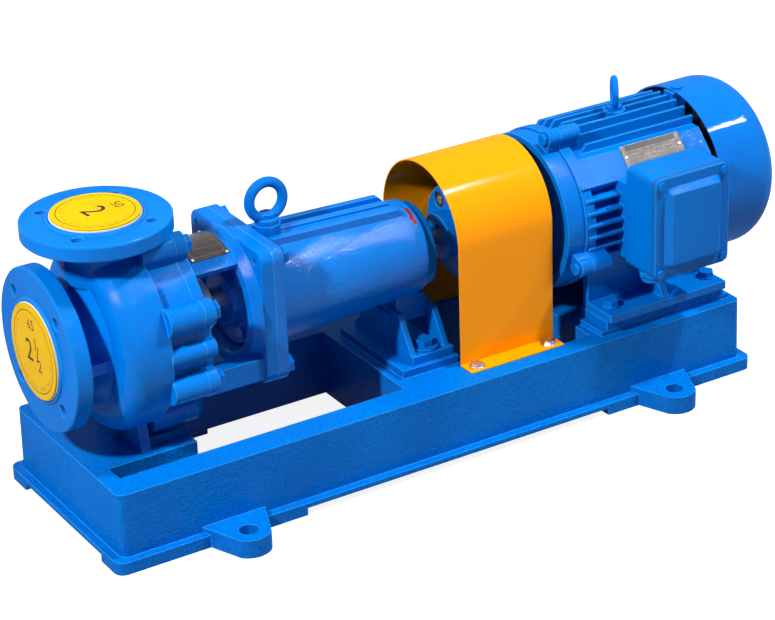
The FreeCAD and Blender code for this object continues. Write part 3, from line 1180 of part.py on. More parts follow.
def anchor_lug(x, y, side):
    """A foundation lug: a wide root at the base that narrows to a round end about its hole."""
    root_y = side * (s.base_half_width - 4)
    reach, half = s.anchor_lug_radius, s.anchor_lug_half
    shoulder = reach * 0.78
    rise = side * reach * 0.62
    return padded("XY", [
        (x - half, root_y), (x + half, root_y), (x + shoulder, y + rise, side * reach),
        (x - shoulder, y + rise),
    ], floor, s.anchor_lug_height, "anchor_lug")


lugs = [anchor_lug(x, y, 1 if y.value > 0 else -1) for x, y in anchor_points]
anchor_holes = [cylinder((x, y, floor - 1), s.anchor_hole / 2, s.anchor_lug_height + 2, "+Z") for x,
                y in anchor_points]
rail_inner = s.base_half_width - s.rail_width
below = floor - 1
above = base_top + 1
inner_front, inner_rear = s.base_front + s.base_wall, s.base_rear - s.base_wall
inner_half_base = s.base_half_width - s.base_wall
under_top = base_top - s.base_wall
windows = [
    box((s.pedestal_end, -rail_inner, below), (s.window_end, rail_inner, above)),
    box((s.front_beam_end, s.pedestal_half_width, below), (s.pedestal_end + 1, rail_inner, above)),
    box((s.front_beam_end, -rail_inner, below), (s.pedestal_end + 1, -s.pedestal_half_width, above)),
    box((s.cross_beam_end, -s.rear_window_half, below), (s.rear_window_end, s.rear_window_half, above)),
    box((s.rear_window_step, -s.rear_window_wide_half, below),
        (s.rear_window_end, s.rear_window_wide_half, above)),
]
skirt = s.base_wall
hollows = [
    box((inner_front, side_low, below), (inner_rear, side_high, under_top))
    for side_low, side_high in ((-inner_half_base, -rail_inner - skirt),
                                (rail_inner + skirt, inner_half_base))
] + [
    box((inner_front, -s.pedestal_half_width + skirt, below),
        (s.pedestal_end - skirt, s.pedestal_half_width - skirt, under_top)),
    box((s.window_end + skirt, -rail_inner - skirt - 1, below),
        (s.cross_beam_end - skirt, rail_inner + skirt + 1, under_top)),
    box((s.rear_window_end + skirt, -rail_inner - skirt - 1, below),
        (inner_rear, rail_inner + skirt + 1, under_top)),
]
arches = [
    box((s.side_arch_start, -guard_reach * 3, below),
        (s.side_arch_end, guard_reach * 3, floor + s.arch_height)),
    box((s.base_front - s.lip_width * 2, -s.front_arch_half, below),
        (s.base_rear + s.lip_width * 2, s.front_arch_half, floor + s.arch_height)),
]
mid_pad = box((s.mid_pad_front, -s.mid_pad_half_width, base_top - 1),
              (support_end + 3, s.mid_pad_half_width, mid_pad_top))
motor_foot_bottom = -s.motor_height
motor_pad_top = motor_foot_bottom - s.motor_packing
motor_pad_inner = s.motor_foot_inner - 4
motor_pad_end = s.motor_pad_front + s.motor_pad_length
motor_pads = [box((s.motor_pad_front, low, base_top - 1), (motor_pad_end, high, motor_pad_top))
              for low, high in ((-s.motor_pad_outer, -motor_pad_inner),
                                (motor_pad_inner, s.motor_pad_outer))]
motor_points = [(s.motor_bolt_x + i * s.motor_bolt_pitch_x, j * s.motor_bolt_pitch_y / 2) for i in (0, 1)
                for j in (-1, 1)]
tap = 30
base_taps = (
    [cylinder((x, y, base_top - 20), s.foot_bolt / 2, 21, "+Z") for x, y in foot_bolt_points]
    + [cylinder((x, y, mid_pad_top - tap), s.support_bolt / 2, tap + 1, "+Z") for x, y in support_points]
    + [cylinder((x, y, base_top - 12), s.guard_screw / 2, 13, "+Z") for x, y in guard_points]
    + [cylinder((x, y, motor_pad_top - tap), s.motor_bolt / 2, tap + 1, "+Z") for x, y in motor_points]
)
base_cast = cut(fuse(base_block, lip, *lugs), *windows, *hollows, *arches, *anchor_holes)
finish(cut(fuse(base_cast, mid_pad, *motor_pads), *base_taps), "base_frame")

# Packing strips and bolts under the motor
strip_holes = [cylinder((x, y, motor_pad_top - 1), s.motor_bolt / 2 + s.fit_gap, s.motor_packing + 2, "+Z")
               for x, y in motor_points]
strips = [box((s.motor_foot_front - 1, low, motor_pad_top),
              (s.motor_foot_front + s.motor_foot_length + 1, high, motor_foot_bottom))
          for low, high in ((-s.motor_pad_outer, -motor_pad_inner), (motor_pad_inner, s.motor_pad_outer))]
finish(group([cut(strips[0], strip_holes[0], strip_holes[2]),
              cut(strips[1], strip_holes[1], strip_holes[3])]),
       "motor_packing_strips")
motor_foot_top = motor_foot_bottom + s.motor_foot_thickness
finish(group([fuse(cylinder((x, y, motor_foot_top), s.motor_bolt, 2, "+Z"),
                   hex_bolt((x, y, motor_foot_top + 2), s.motor_bolt,
                            s.motor_foot_thickness + s.motor_packing + 20, "+Z"))
              for x, y in motor_points]), "motor_foot_bolts")

# Motor frame: barrel, fins, feet, terminal pad and bosses
frame_bore = s.frame_radius - s.frame_wall
collar_end = s.frame_front + s.frame_collar
frame_barrel = turned([
    (s.frame_front, frame_bore), (s.frame_front, s.fin_radius - 2), (collar_end - 4, s.fin_radius - 2),
    (collar_end, s.frame_radius), (s.frame_rear, s.frame_radius), (s.frame_rear, frame_bore),
], "frame_barrel")
fins = []
for step in range(-3, 4):
    offset = step * s.top_fin_pitch
    top = chord(s.fin_radius, offset)
    fins.append(padded("XZ", [
        (s.fin_front - 6, s.frame_radius * 0.6), (s.frame_rear, s.frame_radius * 0.6), (s.frame_rear, top),
        (s.fin_front + s.fin_chamfer, top), (s.fin_front, top - s.fin_chamfer * 1.2),
    ], -offset - s.fin_thickness / 2, s.fin_thickness, "top_fin"))
for step in (-2.5, -1.5, -0.5, 0.5, 1.5, 2.5):
    offset = step * s.side_fin_pitch
    reach = chord(s.fin_radius, offset)
    fins.append(box((s.frame_front + 4, -reach, offset - s.fin_thickness / 2),
                    (s.frame_rear, reach, offset + s.fin_thickness / 2)))
for step in (-1, 0, 1):
    offset = step * s.top_fin_pitch * 1.3
    fins.append(box((s.frame_front + 4, offset - s.fin_thickness / 2, -chord(s.fin_radius, offset)),
                    (s.frame_rear, offset + s.fin_thickness / 2, -s.frame_radius * 0.6)))
pad_half = s.plate_pad_width / 2
plate_pads = []
for side in (-1, 1):
    pad = padded("YZ", [(-pad_half, s.frame_radius * 0.7), (pad_half, s.frame_radius * 0.7),
                        (pad_half, s.plate_pad_radius - 10), (pad_half - 10, s.plate_pad_radius),
                        (-pad_half, s.plate_pad_radius), ] if side < 0 else
                 [(-pad_half, s.frame_radius * 0.7), (pad_half, s.frame_radius * 0.7),
                  (pad_half, s.plate_pad_radius), (-pad_half + 10, s.plate_pad_radius),
                  (-pad_half, s.plate_pad_radius - 10)], s.frame_front + 2,
                  s.frame_rear - s.frame_front - 2, "plate_pad")
    pad.Placement = FreeCAD.Placement(Vector(), Rotation(Vector(1, 0, 0), -side * s.plate_pad_tilt.value))
    plate_pads.append(pad)
frame_core = cylinder((s.frame_front - 1, 0, 0), frame_bore, s.frame_rear - s.frame_front + 2)
foot_rear_end = s.motor_foot_front + s.motor_foot_length
feet, legs = [], []
for side in (-1, 1):
    low, high = sorted((side * s.motor_foot_inner, side * s.motor_foot_outer), key=lambda item: item.value)
    feet.append(box((s.motor_foot_front, low, motor_foot_bottom), (foot_rear_end, high, motor_foot_top)))
    leg_low, leg_high = sorted((side * s.motor_foot_inner,
                                side * (s.motor_foot_inner + s.motor_leg_thickness)),
                               key=lambda item: item.value)
    legs.append(box((s.motor_foot_front, leg_low, motor_foot_top - 1),
                    (foot_rear_end, leg_high, -s.frame_radius * 0.55)))
    web = padded("YZ", [
        (side * s.motor_foot_inner, motor_foot_top - 1),
        (side * (s.motor_foot_outer - 6), motor_foot_top - 1),
        (side * s.frame_radius * 0.94, -s.frame_radius * 0.45),
        (side * s.motor_foot_inner, -s.frame_radius * 0.5),
    ][::side], (s.motor_foot_front + foot_rear_end - s.motor_leg_thickness) / 2, s.motor_leg_thickness,
    "leg_web")
    legs.append(web)
box_end = s.box_front + s.box_length
box_top = s.box_bottom + s.box_side
terminal_pad = box((s.box_front + 4, -s.box_inner, s.box_bottom + 6),
                   (box_end - 4, -s.frame_radius * 0.7, box_top - 25))
eye_pad = cylinder((s.motor_eye_x, 0, s.frame_radius - 6), 13, s.fin_radius - s.frame_radius + 6, "+Z")
eye_hole = cylinder((s.motor_eye_x, 0, s.fin_radius - s.motor_eye_thread * 1.5), s.motor_eye_thread / 2,
                    s.motor_eye_thread * 2, "+Z")
ear_points = ring_points(4, (s.shield_radius + s.shield_ear_offset) * 2, s.shield_ear_turn.value)
frame_ears = [cylinder((s.frame_front, y, z), s.shield_ear_radius, 26) for y, z in ear_points]
ear_roots = [cylinder((s.frame_front, y * 0.9, z * 0.9), s.shield_ear_radius, 26) for y, z in ear_points]
ear_threads = [cylinder((s.frame_front - 1, y, z), s.shield_bolt / 2, 21) for y, z in ear_points]
foot_bolt_holes = [cylinder((x, y, motor_foot_bottom - 1), s.motor_bolt / 2 + s.fit_gap,
                            s.motor_foot_thickness + 2, "+Z")
                   for x, y in motor_points]
wire_hole = cylinder(((s.box_front + box_end) / 2, -s.box_inner - 1, (s.box_bottom + box_top) / 2), 18, 50,
                     "+Y")
finish(cut(fuse(frame_barrel, *fins, *plate_pads, *feet, *legs, terminal_pad, eye_pad, *frame_ears,
                *ear_roots),
           frame_core, eye_hole, wire_hole, *ear_threads, *foot_bolt_holes), "motor_frame")
finish(eye_bolt(s.motor_eye_x, s.fin_radius, s.motor_eye_od, s.motor_eye_id, s.motor_eye_collar,
                s.motor_eye_thread,
                s.motor_eye_thread * 1.4, s.motor_eye_turn.value), "motor_eye_bolt")

# Motor end shields with their bolts
bearing_rim = s.motor_bearing_od / 2
drive_bearing_end = s.motor_bearing_front + s.motor_bearing_width
shield_wall = 9
shield_turned = turned([
    (s.motor_shoulder + 2, s.motor_bearing_id / 2 + s.running_gap),
    (s.motor_shoulder + 2, s.shield_boss_radius - 8),
    (s.motor_shoulder + 8, s.shield_boss_radius), (s.shield_front + 10, s.shield_boss_radius + 2),
    (s.shield_front + 10, s.shield_radius - 12), (s.shield_front, s.shield_radius - 8),
    (s.shield_front, s.shield_radius), (s.frame_front, s.shield_radius), (s.frame_front, frame_bore),
    (s.frame_front + 8, frame_bore - 0.05), (s.frame_front + 8, frame_bore - 6),
    (s.shield_front + 20, s.shield_radius - 24),
    (s.shield_front + 20, bearing_rim + 8), (drive_bearing_end, bearing_rim + 8),
    (drive_bearing_end, bearing_rim),
    (s.motor_bearing_front, bearing_rim), (s.motor_bearing_front, s.motor_bearing_id / 2 + s.running_gap),
], "shield_turned")
ear_start = s.frame_front - 16
shield_ears = [cylinder((ear_start, y * k, z * k), s.shield_ear_radius, 16) for y, z in ear_points
               for k in (1, 0.9)]
shield_inside = cylinder((s.shield_front + 20, 0, 0), frame_bore - 6, 40)
ear_holes = [cylinder((ear_start - 1, y, z), s.shield_bolt / 2, 18) for y, z in ear_points]
finish(cut(fuse(shield_turned, *shield_ears), shield_inside, *ear_holes), "drive_end_shield")
finish(group([hex_bolt((ear_start, y, z), s.shield_bolt, 34, "-X") for y, z in ear_points]), "shield_bolts")
fan_bearing_end = s.motor_bearing_rear + s.motor_bearing_width
fan_shield = turned([
    (s.frame_rear - 6, frame_bore - 6), (s.frame_rear - 6, frame_bore - 0.05),
    (s.frame_rear, frame_bore - 0.05),
    (s.frame_rear, s.frame_radius - 1), (s.frame_rear + 8, s.frame_radius - 1),
    (s.frame_rear + 14, s.shield_boss_radius),
    (fan_bearing_end + 4, s.shield_boss_radius - 6),
    (fan_bearing_end + 4, s.motor_bearing_id / 2 + s.running_gap),
    (fan_bearing_end, s.motor_bearing_id / 2 + s.running_gap), (fan_bearing_end, bearing_rim),
    (s.motor_bearing_rear, bearing_rim), (s.motor_bearing_rear, bearing_rim + 8),
    (s.frame_rear + 4, bearing_rim + 12),
])
cover_inner = s.fan_cover_radius - s.fan_cover_sheet
cover_screw_x = s.fan_cover_front + s.cover_lug_width / 2
lug_half = s.cover_lug_width / 2
cover_lugs = fuse(
    box((s.frame_rear, -cover_inner, -lug_half),
        (s.fan_cover_front + s.cover_lug_width, cover_inner, lug_half)),
    box((s.frame_rear, -lug_half, -cover_inner),
        (s.fan_cover_front + s.cover_lug_width, lug_half, cover_inner)),
)
lug_limit = turned(tube(s.frame_rear, s.frame_rear + 40, s.frame_radius - 10, cover_inner))
cover_ways = [((cover_screw_x, 0, s.fan_cover_radius), "+Z"),
              ((cover_screw_x, 0, -s.fan_cover_radius), "-Z"),
              ((cover_screw_x, s.fan_cover_radius, 0), "+Y"),
              ((cover_screw_x, -s.fan_cover_radius, 0), "-Y")]
cover_screw_length = 12


def through_cover(radius, length, stand=0.0):
    """Round pegs pushed in through the fan cover's rim at its four screws."""
    return [cylinder(along(point, way, stand - length), radius, length, way) for point, way in cover_ways]


finish(cut(fuse(fan_shield, common(cover_lugs, lug_limit)),
           *through_cover(s.fan_cover_screw / 2, cover_screw_length)),
       "fan_end_shield")
motor_bearings = [bearing(start, s.motor_bearing_id, s.motor_bearing_od, s.motor_bearing_width)
                  for start in (s.motor_bearing_front, s.motor_bearing_rear)]
finish(group([outer for outer, inner, balls in motor_bearings]), "motor_bearing_outer_rings")
finish(group([inner for outer, inner, balls in motor_bearings]), "motor_bearing_inner_rings")
finish(group(motor_bearings[0][2] + motor_bearings[1][2]), "motor_bearing_balls")

# Stator, windings, rotor and motor shaft
stator_end = s.stator_front + s.stator_length
finish(turned(tube(s.stator_front, stator_end, s.stator_bore_radius, frame_bore)), "stator_core")
winding_low, winding_high = s.stator_bore_radius + 3, frame_bore - 6
finish(group([
    turned([(start, winding_low), (start, winding_high), (start + s.winding_reach / 2, winding_high),
            (start + s.winding_reach, winding_high - 3),
            (start + s.winding_reach, winding_low + 3)] if rear else
           [(start, winding_low + 3), (start, winding_high - 3),
            (start + s.winding_reach / 2, winding_high),
            (start + s.winding_reach, winding_high), (start + s.winding_reach, winding_low)])
    for start, rear in ((s.stator_front - s.winding_reach, False), (stator_end, True))]), "stator_windings")
rotor_radius = s.stator_bore_radius - s.air_gap
shaft_seat = s.motor_bearing_id / 2
finish(turned(tube(s.stator_front, stator_end, shaft_seat + 5, rotor_radius)), "motor_rotor_core")
shaft_start = s.motor_shoulder - s.motor_shaft_length
fan_seat = shaft_seat - 3
fan_rear = s.fan_front + s.fan_length
motor_shaft = turned([
    (shaft_start, 0), (shaft_start, s.motor_shaft_radius - 1.5), (shaft_start + 1.5, s.motor_shaft_radius),
    (s.motor_shoulder, s.motor_shaft_radius), (s.motor_shoulder, shaft_seat),
    (drive_bearing_end, shaft_seat),
    (drive_bearing_end, shaft_seat + 5), (s.motor_bearing_rear, shaft_seat + 5),
    (s.motor_bearing_rear, shaft_seat),
    (fan_bearing_end + 6, shaft_seat), (fan_bearing_end + 6, fan_seat), (fan_rear, fan_seat), (fan_rear, 0),
])
finish(cut(motor_shaft, key_block(motor_key_start, s.motor_shaft_radius)), "motor_shaft")

# Cooling fan and its cover
fan_blades = []
for index in range(FAN_BLADES):
    angle = math.radians(360.0 * index / FAN_BLADES)
    outward, across = round(math.cos(angle), 9), round(math.sin(angle), 9)
    root_radius, half_blade = s.fan_hub_radius - 2, s.fan_blade_thickness / 2
    blade = box((0, 0, 0), (s.fan_length - 3, s.fan_radius - root_radius, s.fan_blade_thickness))
    place(blade, (s.fan_front + 3, root_radius * outward + half_blade * across,
                  root_radius * across - half_blade * outward))
    blade.Placement.Rotation = Rotation(Vector(1, 0, 0), math.degrees(angle))
    fan_blades.append(blade)
fan_disc = turned([
    (s.fan_front, fan_seat), (s.fan_front, s.fan_radius - 12), (s.fan_front + 4, s.fan_radius - 12),
    (s.fan_front + 4, s.fan_hub_radius), (fan_rear, s.fan_hub_radius), (fan_rear, fan_seat),
])
finish(fuse(fan_disc, *fan_blades), "cooling_fan")
cover_sheet, cover_round = s.fan_cover_sheet, s.fan_cover_rounding
cover_solid = turned([
    (s.fan_cover_front, cover_inner), (s.fan_cover_front, s.fan_cover_radius),
    (s.fan_cover_end - cover_round, s.fan_cover_radius, -cover_round),
    (s.fan_cover_end, s.fan_cover_radius - cover_round),
    (s.fan_cover_end, 0), (s.fan_cover_end - cover_sheet, 0),
    (s.fan_cover_end - cover_sheet, s.fan_cover_radius - cover_round, cover_round - cover_sheet),
    (s.fan_cover_end - cover_round, cover_inner),
])
slots = []
for ring_radius, slot_half in ((s.fan_cover_radius * 0.30, 4.5), (s.fan_cover_radius * 0.50, 8),
                               (s.fan_cover_radius * 0.70, 12)):
    for index in range(SLOTS):
        slot = doc.addObject("Part::Box", "slot")
        bind(slot, "Length", 10)
        bind(slot, "Width", 9)
        bind(slot, "Height", slot_half * 2)
        angle = math.radians(360.0 * index / SLOTS)
        near, drop = ring_radius - 4.5, slot_half
        place(slot, (s.fan_cover_end - 5,
                     near * round(math.cos(angle), 9) + drop * round(math.sin(angle), 9),
                     near * round(math.sin(angle), 9) - drop * round(math.cos(angle), 9)))
        slot.Placement.Rotation = Rotation(Vector(1, 0, 0), math.degrees(angle))
        slots.append(slot)
finish(cut(cover_solid, *slots, *through_cover(s.fan_cover_screw / 2, cover_screw_length, 3)), "fan_cover")
finish(group([fuse(head, shank) for head, shank in zip(through_cover(s.fan_cover_screw, 2.5, 2.5),
                                                       through_cover(s.fan_cover_screw / 2,
                                                                     cover_screw_length - 1))]),
       "fan_cover_screws")

# Terminal box, lid, screws and inlets
box_front_y = -s.box_inner - s.box_depth
terminal_outline = rounded((s.box_front, s.box_bottom), (box_end, box_top), s.box_corner)
terminal_room = rounded((s.box_front + s.box_wall, s.box_bottom + s.box_wall),
                        (box_end - s.box_wall, box_top - s.box_wall), s.box_corner - s.box_wall)
terminal_block = padded("XZ", terminal_outline, s.box_inner, s.box_depth, "terminal_shell")
terminal_hollow = padded("XZ", terminal_room, s.box_inner + s.box_wall, s.box_depth, "terminal_hollow")
inlet_middle = (s.box_front + box_end) / 2 - 12
inlet_points = [(inlet_middle + side * s.gland_hole_pitch / 2, -s.box_inner - s.box_depth / 2)
                for side in (-1, 1)]
inlet_holes = [cylinder((x, y, s.box_bottom - 1), s.gland_nut_radius * 0.6, s.box_wall + 2, "+Z") for x,
               y in inlet_points]
lid_points = [(x, z) for x in (s.box_front + s.lid_screw_inset, box_end - s.lid_screw_inset)
              for z in (s.box_bottom + s.lid_screw_inset, box_top - s.lid_screw_inset)]
screw_posts = [cylinder((x, box_front_y, z), s.lid_screw, s.box_depth - s.box_wall, "+Y") for x,
               z in lid_points]
screw_taps = [cylinder((x, box_front_y - 1, z), s.lid_screw / 2, 15, "+Y") for x, z in lid_points]
cable_way = cylinder(((s.box_front + box_end) / 2, -s.box_inner - s.box_wall - 1,
                      (s.box_bottom + box_top) / 2), 18, s.box_wall + 2, "+Y")
box_shell = cut(terminal_block, terminal_hollow)
finish(cut(fuse(box_shell, *screw_posts), *screw_taps, *inlet_holes, cable_way), "terminal_box")
lid_rim = padded("XZ", terminal_outline, -box_front_y, s.lid_plate, "lid_rim")
dome_body = new_body("lid_dome")
dome_outline = rounded((s.box_front + s.lid_margin, s.box_bottom + s.lid_margin),
                       (box_end - s.lid_margin, box_top - s.lid_margin), 7)
dome_sketch = draw(sketch_on(dome_body, "XZ_Plane", -box_front_y + s.lid_plate), dome_outline)
dome_pad = dome_body.newObject("PartDesign::Pad", "dome")
dome_pad.Profile = dome_sketch
bind(dome_pad, "Length", s.lid_dome)
dome_pad.TaperAngle = -35
lid_holes = [cylinder((x, box_front_y + 1, z), s.lid_screw / 2 + s.fit_gap, s.lid_plate + 2, "-Y") for x,
             z in lid_points]
finish(cut(fuse(lid_rim, dome_body), *lid_holes), "terminal_box_lid")
lid_face = box_front_y - s.lid_plate
finish(group([fuse(cylinder((x, lid_face, z), s.lid_screw, 3, "-Y"),
                   cylinder((x, lid_face, z), s.lid_screw / 2, s.lid_plate + 10, "+Y"))
              for x, z in lid_points]), "terminal_lid_screws")
finish(group([fuse(hexagon((x, y, s.box_bottom), s.gland_nut_radius * 2, s.gland_nut_height * 0.5, "-Z"),
                   cylinder((x, y, s.box_bottom), s.gland_nut_radius * 0.85, s.gland_nut_height, "-Z"),
                   cylinder((x, y, s.box_bottom), s.gland_nut_radius * 0.6 - 0.1, s.box_wall, "+Z"))
              for x, y in inlet_points]), "cable_inlet_plugs")
board_x, board_z = (s.box_front + box_end) / 2, (s.box_bottom + box_top) / 2
board_back = -s.box_inner - s.box_wall
studs = [cylinder((board_x + i * 18, board_back - 10, board_z + j * 12 + 30), 2.5, 14, "-Y")
         for i in (-1, 0, 1) for j in (-1, 1)]
finish(fuse(box((board_x - 30, board_back - 12, board_z + 10), (board_x + 30, board_back, board_z + 50)),
            *studs), "terminal_board")

# Nameplate on the slanted flat of the motor
plate_turn = Rotation(Vector(1, 0, 0), s.plate_pad_tilt.value)
tilt = math.radians(s.plate_pad_tilt.value)
lean, rise = round(math.sin(tilt), 9), round(math.cos(tilt), 9)
middle_y, middle_z = -s.plate_pad_radius * lean, s.plate_pad_radius * rise
half_width = s.motor_plate_width / 2
motor_plate = box((0, 0, 0), (s.motor_plate_length, s.motor_plate_width, s.name_plate_sheet))
place(motor_plate, (s.motor_plate_start, middle_y - half_width * rise, middle_z - half_width * lean))
motor_plate.Placement.Rotation = plate_turn
rivet_holes = []
for rivet_x in (s.motor_plate_start + s.plate_rivet_inset,
                s.motor_plate_start + s.motor_plate_length - s.plate_rivet_inset):
    rivet_hole = cylinder((rivet_x, middle_y, middle_z), s.plate_rivet / 2, s.name_plate_sheet * 6, "+Z")
    rivet_hole.Placement.Rotation = plate_turn
    rivet_holes.append(rivet_hole)
finish(cut(motor_plate, *rivet_holes), "motor_nameplate")

# Transport caps pushed into the two flange openings
cap_front = lip_front - s.transport_cap_thickness
suction_plug = s.suction_bore / 2 - s.fit_gap
suction_cap_radius = s.suction_lip_od / 2 - s.transport_cap_margin
cap_end = lip_front + s.cap_plug_depth
finish(turned([
    (cap_front, 0), (cap_front, suction_cap_radius), (lip_front, suction_cap_radius),
    (lip_front, suction_plug),
    (cap_end, suction_plug), (cap_end, suction_plug - s.cap_plug_wall),
    (lip_front, suction_plug - s.cap_plug_wall), (lip_front, 0),
]), "suction_transport_cap")
discharge_plug = s.discharge_bore / 2 - s.fit_gap
cap_disc = cylinder((s.discharge_offset, 0, lining_lip_top),
                    s.discharge_lip_od / 2 - s.transport_cap_margin,
                    s.transport_cap_thickness, "+Z")
plug_end = lining_lip_top - s.cap_plug_depth
cap_plug = cylinder((s.discharge_offset, 0, plug_end), discharge_plug, s.cap_plug_depth, "+Z")
cap_hollow = cylinder((s.discharge_offset, 0, plug_end - 1), discharge_plug - s.cap_plug_wall,
                      s.cap_plug_depth + 1, "+Z")
finish(cut(fuse(cap_disc, cap_plug), cap_hollow), "discharge_transport_cap")

doc.recompute()
faults = [item.Label for item in doc.Objects if {"Invalid", "Error"} & set(item.State)]
for part in parts:
    if part.Shape.isNull() or not part.Shape.isValid() or not part.Shape.Solids:
        faults.append(part.Label)
if faults:
    raise RuntimeError("these pieces failed: " + ", ".join(faults))
os.makedirs("parts", exist_ok=True)
for part in parts:
    part.Shape.exportStep(f"parts/{part.Label}.step")
print(len(parts), "sub-parts written")
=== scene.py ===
# %% [markdown]
# # Dressing a chemical pump set
#
# The pump arrives as a finished frame: sixty solid pieces that are already in the right place, with the
# shafts and caps that can move. This lesson gives those pieces their paint, steel, plastic and light.
# Nothing that the frame holds is moved. Small things that a solid model leaves out, such as the print
# on a transport cap, are modelled here and ride on the body that carries them.
#
# Every length is in metres. +X runs along the shaft from the suction flange to the motor, the near
# side of the pump is -Y, and the floor is z = 0.

import json
import math

import bmesh
import bpy
from mathutils import Matrix, Vector


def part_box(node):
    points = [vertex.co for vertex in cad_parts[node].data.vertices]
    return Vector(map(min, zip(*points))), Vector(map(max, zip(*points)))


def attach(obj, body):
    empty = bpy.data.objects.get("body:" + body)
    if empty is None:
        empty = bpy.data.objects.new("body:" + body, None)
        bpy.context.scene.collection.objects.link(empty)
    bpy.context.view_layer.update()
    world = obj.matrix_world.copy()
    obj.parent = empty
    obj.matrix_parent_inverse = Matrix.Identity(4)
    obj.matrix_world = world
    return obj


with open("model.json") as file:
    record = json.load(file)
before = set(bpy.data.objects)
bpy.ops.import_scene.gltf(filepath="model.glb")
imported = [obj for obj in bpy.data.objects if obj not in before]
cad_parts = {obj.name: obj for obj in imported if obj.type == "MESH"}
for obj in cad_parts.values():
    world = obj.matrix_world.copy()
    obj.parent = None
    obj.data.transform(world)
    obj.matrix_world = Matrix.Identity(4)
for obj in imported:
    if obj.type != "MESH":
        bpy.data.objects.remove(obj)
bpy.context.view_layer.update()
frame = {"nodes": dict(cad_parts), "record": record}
nodes = frame["nodes"]

# %% [markdown]
# ## The camera
#
# A product picture of a long machine is taken with a long lens from a few metres away, so that the
# near flange and the far motor keep their proportions. The camera stands to the left of the near side
# and looks down by a little more than a quarter of a right angle. Its direction is written as two angles
# and a small roll, and the matrix is built from the three directions that they give: right, up and
# backwards.

# %% Camera
AZIMUTH, ELEVATION, ROLL = (math.radians(v) for v in (-31.091, 25.728, -1.923))
CAMERA_PLACE = (-1.5020, -2.4793, 1.5388)
LENS_MM = 129.43
backwards = Vector((math.sin(AZIMUTH) * math.cos(ELEVATION),
                    -math.cos(AZIMUTH) * math.cos(ELEVATION), math.sin(ELEVATION)))
level_right = (-backwards).cross(Vector((0, 0, 1))).normalized()
level_up = level_right.cross(-backwards)
right = level_right * math.cos(ROLL) + level_up * math.sin(ROLL)
up = level_up * math.cos(ROLL) - level_right * math.sin(ROLL)
camera_data = bpy.data.cameras.new("camera")
camera_data.lens = LENS_MM
camera_data.sensor_width = 36.0
camera_data.clip_start = 0.05
camera = bpy.data.objects.new("camera", camera_data)
turned = Matrix((right, up, backwards)).transposed().to_4x4()
camera.matrix_world = Matrix.Translation(CAMERA_PLACE) @ turned
bpy.context.collection.objects.link(camera)
bpy.context.scene.camera = camera
print("camera at", [round(v, 3) for v in camera.location], "lens", round(camera_data.lens, 1))

# %% [markdown]
# ## Floor and sky
#
# The machine stands in a white studio. A floor that is simply bright would need a lot of light, and that
# light would wash out the paint. Instead the floor adds a glow of its own wherever the camera looks at
# it, so it reads as white while its shadow stays. The sky is white to the camera, and a calm grey light
# for the paint. Reflections and glass see the same white as the camera, because a Light Path node
# tells these rays apart from the ones that carry light.

# %% Floor and sky
WHITE = (1.0, 1.0, 1.0, 1.0)
SKY_LIGHT = 0.12
SKY_SEEN = 1.0
FLOOR_GREY = (0.32, 0.32, 0.33, 1.0)
FLOOR_GLOW = 0.88
FLOOR_HALF_WIDTH = 9.0
view = bpy.context.scene.view_settings
view.view_transform = "Standard"


def new_nodes(owner):
    """Empty node tree of a material or world, with its output node."""
    owner.use_nodes = True
    tree = owner.node_tree
    tree.nodes.clear()
    kind = "ShaderNodeOutputWorld" if isinstance(owner, bpy.types.World) else "ShaderNodeOutputMaterial"
    return tree, tree.nodes.new(kind)


def looked_at(tree, off, on):
    """A value that is on for camera, reflected and transmitted rays, and off for light."""
    rays = tree.nodes.new("ShaderNodeLightPath")
    seen = rays.outputs["Is Camera Ray"]
    for other in ("Is Glossy Ray", "Is Transmission Ray"):
        either = tree.nodes.new("ShaderNodeMath")
        either.operation = "MAXIMUM"
        tree.links.new(seen, either.inputs[0])
        tree.links.new(rays.outputs[other], either.inputs[1])
        seen = either.outputs[0]
    power = tree.nodes.new("ShaderNodeMapRange")
    power.inputs["To Min"].default_value = off
    power.inputs["To Max"].default_value = on
    tree.links.new(seen, power.inputs["Value"])
    return power.outputs["Result"]


world = bpy.data.worlds.new("studio")
bpy.context.scene.world = world
tree, output = new_nodes(world)
background = tree.nodes.new("ShaderNodeBackground")
background.inputs["Color"].default_value = WHITE
tree.links.new(looked_at(tree, SKY_LIGHT, SKY_SEEN), background.inputs["Strength"])
tree.links.new(background.outputs[0], output.inputs["Surface"])

floor_mesh = bpy.data.meshes.new("floor")
shape = bmesh.new()
bmesh.ops.create_grid(shape, x_segments=1, y_segments=1, size=FLOOR_HALF_WIDTH)
shape.to_mesh(floor_mesh)
shape.free()
floor = bpy.data.objects.new("floor", floor_mesh)
bpy.context.collection.objects.link(floor)
floor_paint = bpy.data.materials.new("studio_floor")
tree, output = new_nodes(floor_paint)
matt = tree.nodes.new("ShaderNodeBsdfDiffuse")
matt.inputs["Color"].default_value = FLOOR_GREY
glow = tree.nodes.new("ShaderNodeEmission")
glow.inputs["Color"].default_value = WHITE
tree.links.new(looked_at(tree, 0.0, FLOOR_GLOW), glow.inputs["Strength"])
both = tree.nodes.new("ShaderNodeAddShader")
tree.links.new(matt.outputs[0], both.inputs[0])
tree.links.new(glow.outputs[0], both.inputs[1])
tree.links.new(both.outputs[0], output.inputs["Surface"])
floor.data.materials.append(floor_paint)
print("floor", floor.dimensions.x, "m wide")

